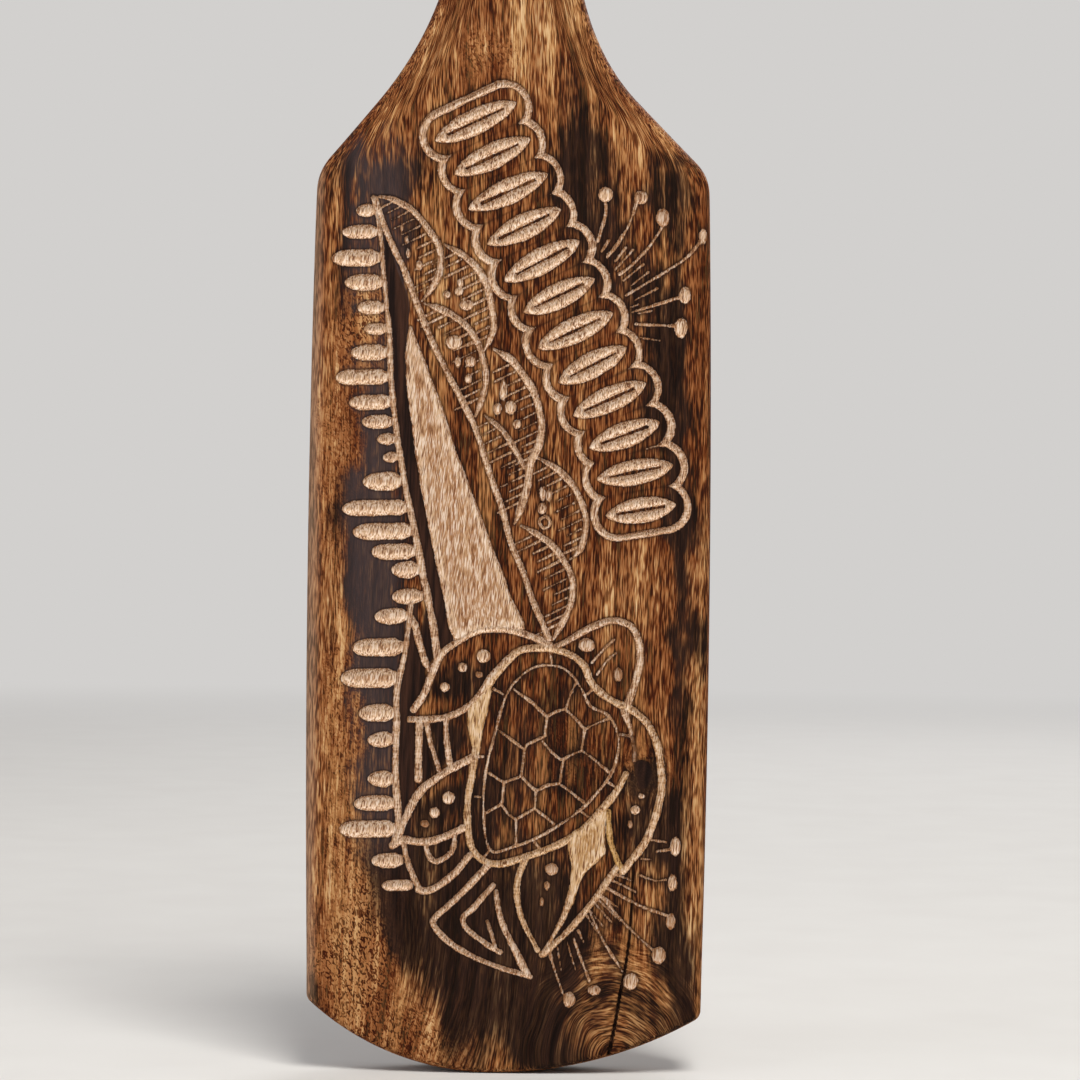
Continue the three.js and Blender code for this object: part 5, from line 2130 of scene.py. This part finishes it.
@dataclass
class Hanger:
    """The sawtooth wall hanger's plate, which keeps its CAD node, and its two nails."""

    nail_x: float = 17.0
    nail_z: float = 290.6
    head_radius: float = 2.0
    shank_radius: float = 0.7
    head_low: float = -2.1
    head_thickness: float = 0.9
    length: float = 11.0
    point: float = 2.0
    point_radius: float = 0.02
    rim_share: float = 0.45
    dome_points: int = 8
    turns: int = 40

    def nail(self, name: str, x: float) -> Object:
        """A nail with a low domed head: its profile turned about an axis along y.

        At the height rim + dome sin(a), the head's radius is the widest times cos(a)^0.8.

        Args:
            name: The piece's name.
            x: Where its axis lies.

        Returns:
            The object.
        """
        arc = np.linspace(0, math.pi / 2, self.dome_points)
        rim = self.head_thickness * self.rim_share
        dome = self.head_thickness * (1 - self.rim_share)
        foot = (
            (self.point_radius, -self.length),
            (self.shank_radius, self.point - self.length),
            (self.shank_radius, 0),
            (self.head_radius * 0.97, 0),
            (self.head_radius, rim * 0.25),
        )
        head = np.stack([self.head_radius * np.cos(arc) ** 0.8, rim + dome * np.sin(arc)], axis=1)
        radius, depth = np.concatenate([foot, head]).T
        radius[-1] = self.point_radius
        across, up, along = turned(radius, self.head_low + depth, self.turns)
        return ringed_piece(name, np.stack([x + across, along, self.nail_z + up], axis=-1))

    def build(self) -> list[Object]:
        """Builds the nails and dresses plate and nails.

        Returns:
            The two nails.
        """
        steel = PlatedSteel().material()
        dress(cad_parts["hanger_plate"], steel)
        nails = []
        for name, sign in (("hanger_nail_left", -1), ("hanger_nail_right", 1)):
            nail = self.nail(name.replace("hanger_", ""), sign * self.nail_x)
            dress(nail, PlatedSteel("nail_steel", "cfc29c", "9a8b68").material())
            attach(nail, "root")
            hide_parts(name)
            nails.append(nail)
        return nails


@dataclass
class Studio:
    """A pale floor that rises into a backdrop all round, soft lamps and the camera."""

    floor_height: float = -0.2881
    floor_radius: float = 3.2
    inner_radii: Span = (0.001, 0.2)
    rim_radius: float = 1.6
    rim_height: float = 3.0
    floor_rings: int = 12
    bend_points: int = 24
    turns: int = 96
    fade: Span = (500.0, 2400.0)
    aim: tuple[float, float, float] = (0.0, 0.0, -0.12)
    world_strength: float = 0.3
    view_width: float = 0.324
    view_distance: float = 0.9
    view_centre: Span = (0.0093, -0.1278)
    view_roll: float = 0.695

    def backdrop(self) -> Object:
        """The floor: a disc whose rim turns up in a quarter circle, then a wall, turned about z.

        Returns:
            The floor.
        """
        bend = np.linspace(0, math.pi / 2, self.bend_points)[1:]
        centre, first = self.inner_radii
        flat = [centre, *np.linspace(first, self.floor_radius, self.floor_rings)]
        curved = self.floor_radius + self.rim_radius * np.sin(bend)
        rising = self.rim_radius * (1 - np.cos(bend))
        radius = np.concatenate([flat, curved, [self.floor_radius + self.rim_radius]])
        height = np.concatenate([np.zeros(len(flat)), rising, [self.rim_height]])
        points = np.stack(turned(radius, height, self.turns), axis=-1)
        points = points / MM + np.array([0, 0, HANGER_HEIGHT + self.floor_height / MM])
        number, quads = ring_faces(len(radius), self.turns)
        floor = mesh_piece("studio_floor", points.reshape(-1, 3), quads, [number[0][::-1]])
        dress(floor, self.pale())
        return floor

    def pale(self) -> Material:
        """Matt pale grey, which fades into an even glowing tone far from the object.

        The fade follows the square of the distance from the middle. Only the camera and what
        mirrors or bends light see it, so it lights nothing.

        Returns:
            The material.
        """
        maker = NodeMaker("studio_pale")
        x, y, z = maker.place()
        speckle = maker.noise(maker.at(x / 40, y / 40, z / 40), 3.0)
        base = maker.mix(speckle, colour("cfccc9"), colour("d6d4d1"))
        matt = maker.add("ShaderNodeBsdfPrincipled", None, {"Base Color": base, "Roughness": 0.9})
        glow = maker.add("ShaderNodeEmission", None, {"Color": colour("d2d0ce"), "Strength": 1.0})
        rays = maker.add("ShaderNodeLightPath").outputs
        names = ("Is Camera Ray", "Is Glossy Ray", "Is Transmission Ray")
        seen = sum(Socket(maker, rays[name]) for name in names)
        far = (x * x + y * y).step(self.fade[0] ** 2, self.fade[1] ** 2)
        blend = maker.add(
            "ShaderNodeMixShader",
            None,
            {0: seen * far, 1: Socket(maker, matt.outputs[0]), 2: Socket(maker, glow.outputs[0])},
        )
        maker.add("ShaderNodeOutputMaterial", None, {"Surface": Socket(maker, blend.outputs[0])})
        return maker.material

    def lamp(self, name: str, place: tuple, size: float, power: float, tint: str) -> Object:
        """A square soft lamp that looks at the middle of the blade.

        Args:
            name: Its name.
            place: Where it stands, in metres.
            size: Length of its side.
            power: Watts.
            tint: Its colour's code.

        Returns:
            The object.
        """
        data = bpy.data.lights.new(name, "AREA")
        data.size = size
        data.energy = power
        data.color = colour(tint)[:3]
        lamp = bpy.data.objects.new(name, data)
        bpy.context.scene.collection.objects.link(lamp)
        lamp.location = place
        way = np.array(self.aim) - np.array(place)
        pitch = math.atan2(way[2], math.hypot(way[0], way[1]))
        lamp.rotation_euler = (math.pi / 2 + pitch, 0, math.atan2(-way[0], way[1]))
        return lamp

    def world(self) -> None:
        """An even pale light from all round."""
        world = bpy.data.worlds.new("studio")
        world.use_nodes = True
        background = world.node_tree.nodes["Background"]
        background.inputs["Color"].default_value = colour("f4f4f6")
        background.inputs["Strength"].default_value = self.world_strength
        bpy.context.scene.world = world

    def camera(self) -> Object:
        """The camera of the photograph: level, square to the face, and rolled a little.

        Its rotation is a quarter turn about x, which brings it level, after the roll.

        Returns:
            The camera.
        """
        data = bpy.data.cameras.new("photo_camera")
        data.sensor_width = 36.0
        data.lens = data.sensor_width * self.view_distance / self.view_width
        camera = bpy.data.objects.new("photo_camera", data)
        bpy.context.scene.collection.objects.link(camera)
        x, z = self.view_centre
        camera.location = (x, -PLANK_THICKNESS * MM - self.view_distance, z)
        camera.rotation_mode = "QUATERNION"
        half, roll = math.pi / 4, math.radians(self.view_roll) / 2
        camera.rotation_quaternion = (
            math.cos(half) * math.cos(roll),
            math.sin(half) * math.cos(roll),
            -math.sin(half) * math.sin(roll),
            math.cos(half) * math.sin(roll),
        )
        bpy.context.scene.camera = camera
        return camera

    def build(self) -> None:
        """Sets up floor, lamps, world and camera."""
        self.backdrop()
        self.lamp("key_lamp", (0.4, -1.0, 1.6), 0.8, 41.0, "fffdf8")
        self.lamp("fill_lamp", (-1.8, -0.9, 0.3), 1.4, 14.0, "f8f9ff")
        self.lamp("back_lamp", (0.6, 1.7, 1.1), 1.3, 18.0, "ffffff")
        self.world()
        self.camera()
        bpy.context.scene.view_settings.view_transform = "Standard"


def main() -> None:
    """Builds the studio and the paddle, and logs each piece's number of faces."""
    logging.basicConfig(level=logging.INFO, format="%(name)s: %(message)s")
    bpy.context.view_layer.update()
    Studio().build()
    for assembly in (Plank(), Grip(), Hanger()):
        for piece in assembly.build():
            log.info("%s: %d faces", piece.name, len(piece.data.polygons))


if __name__ == "__main__":
    main()
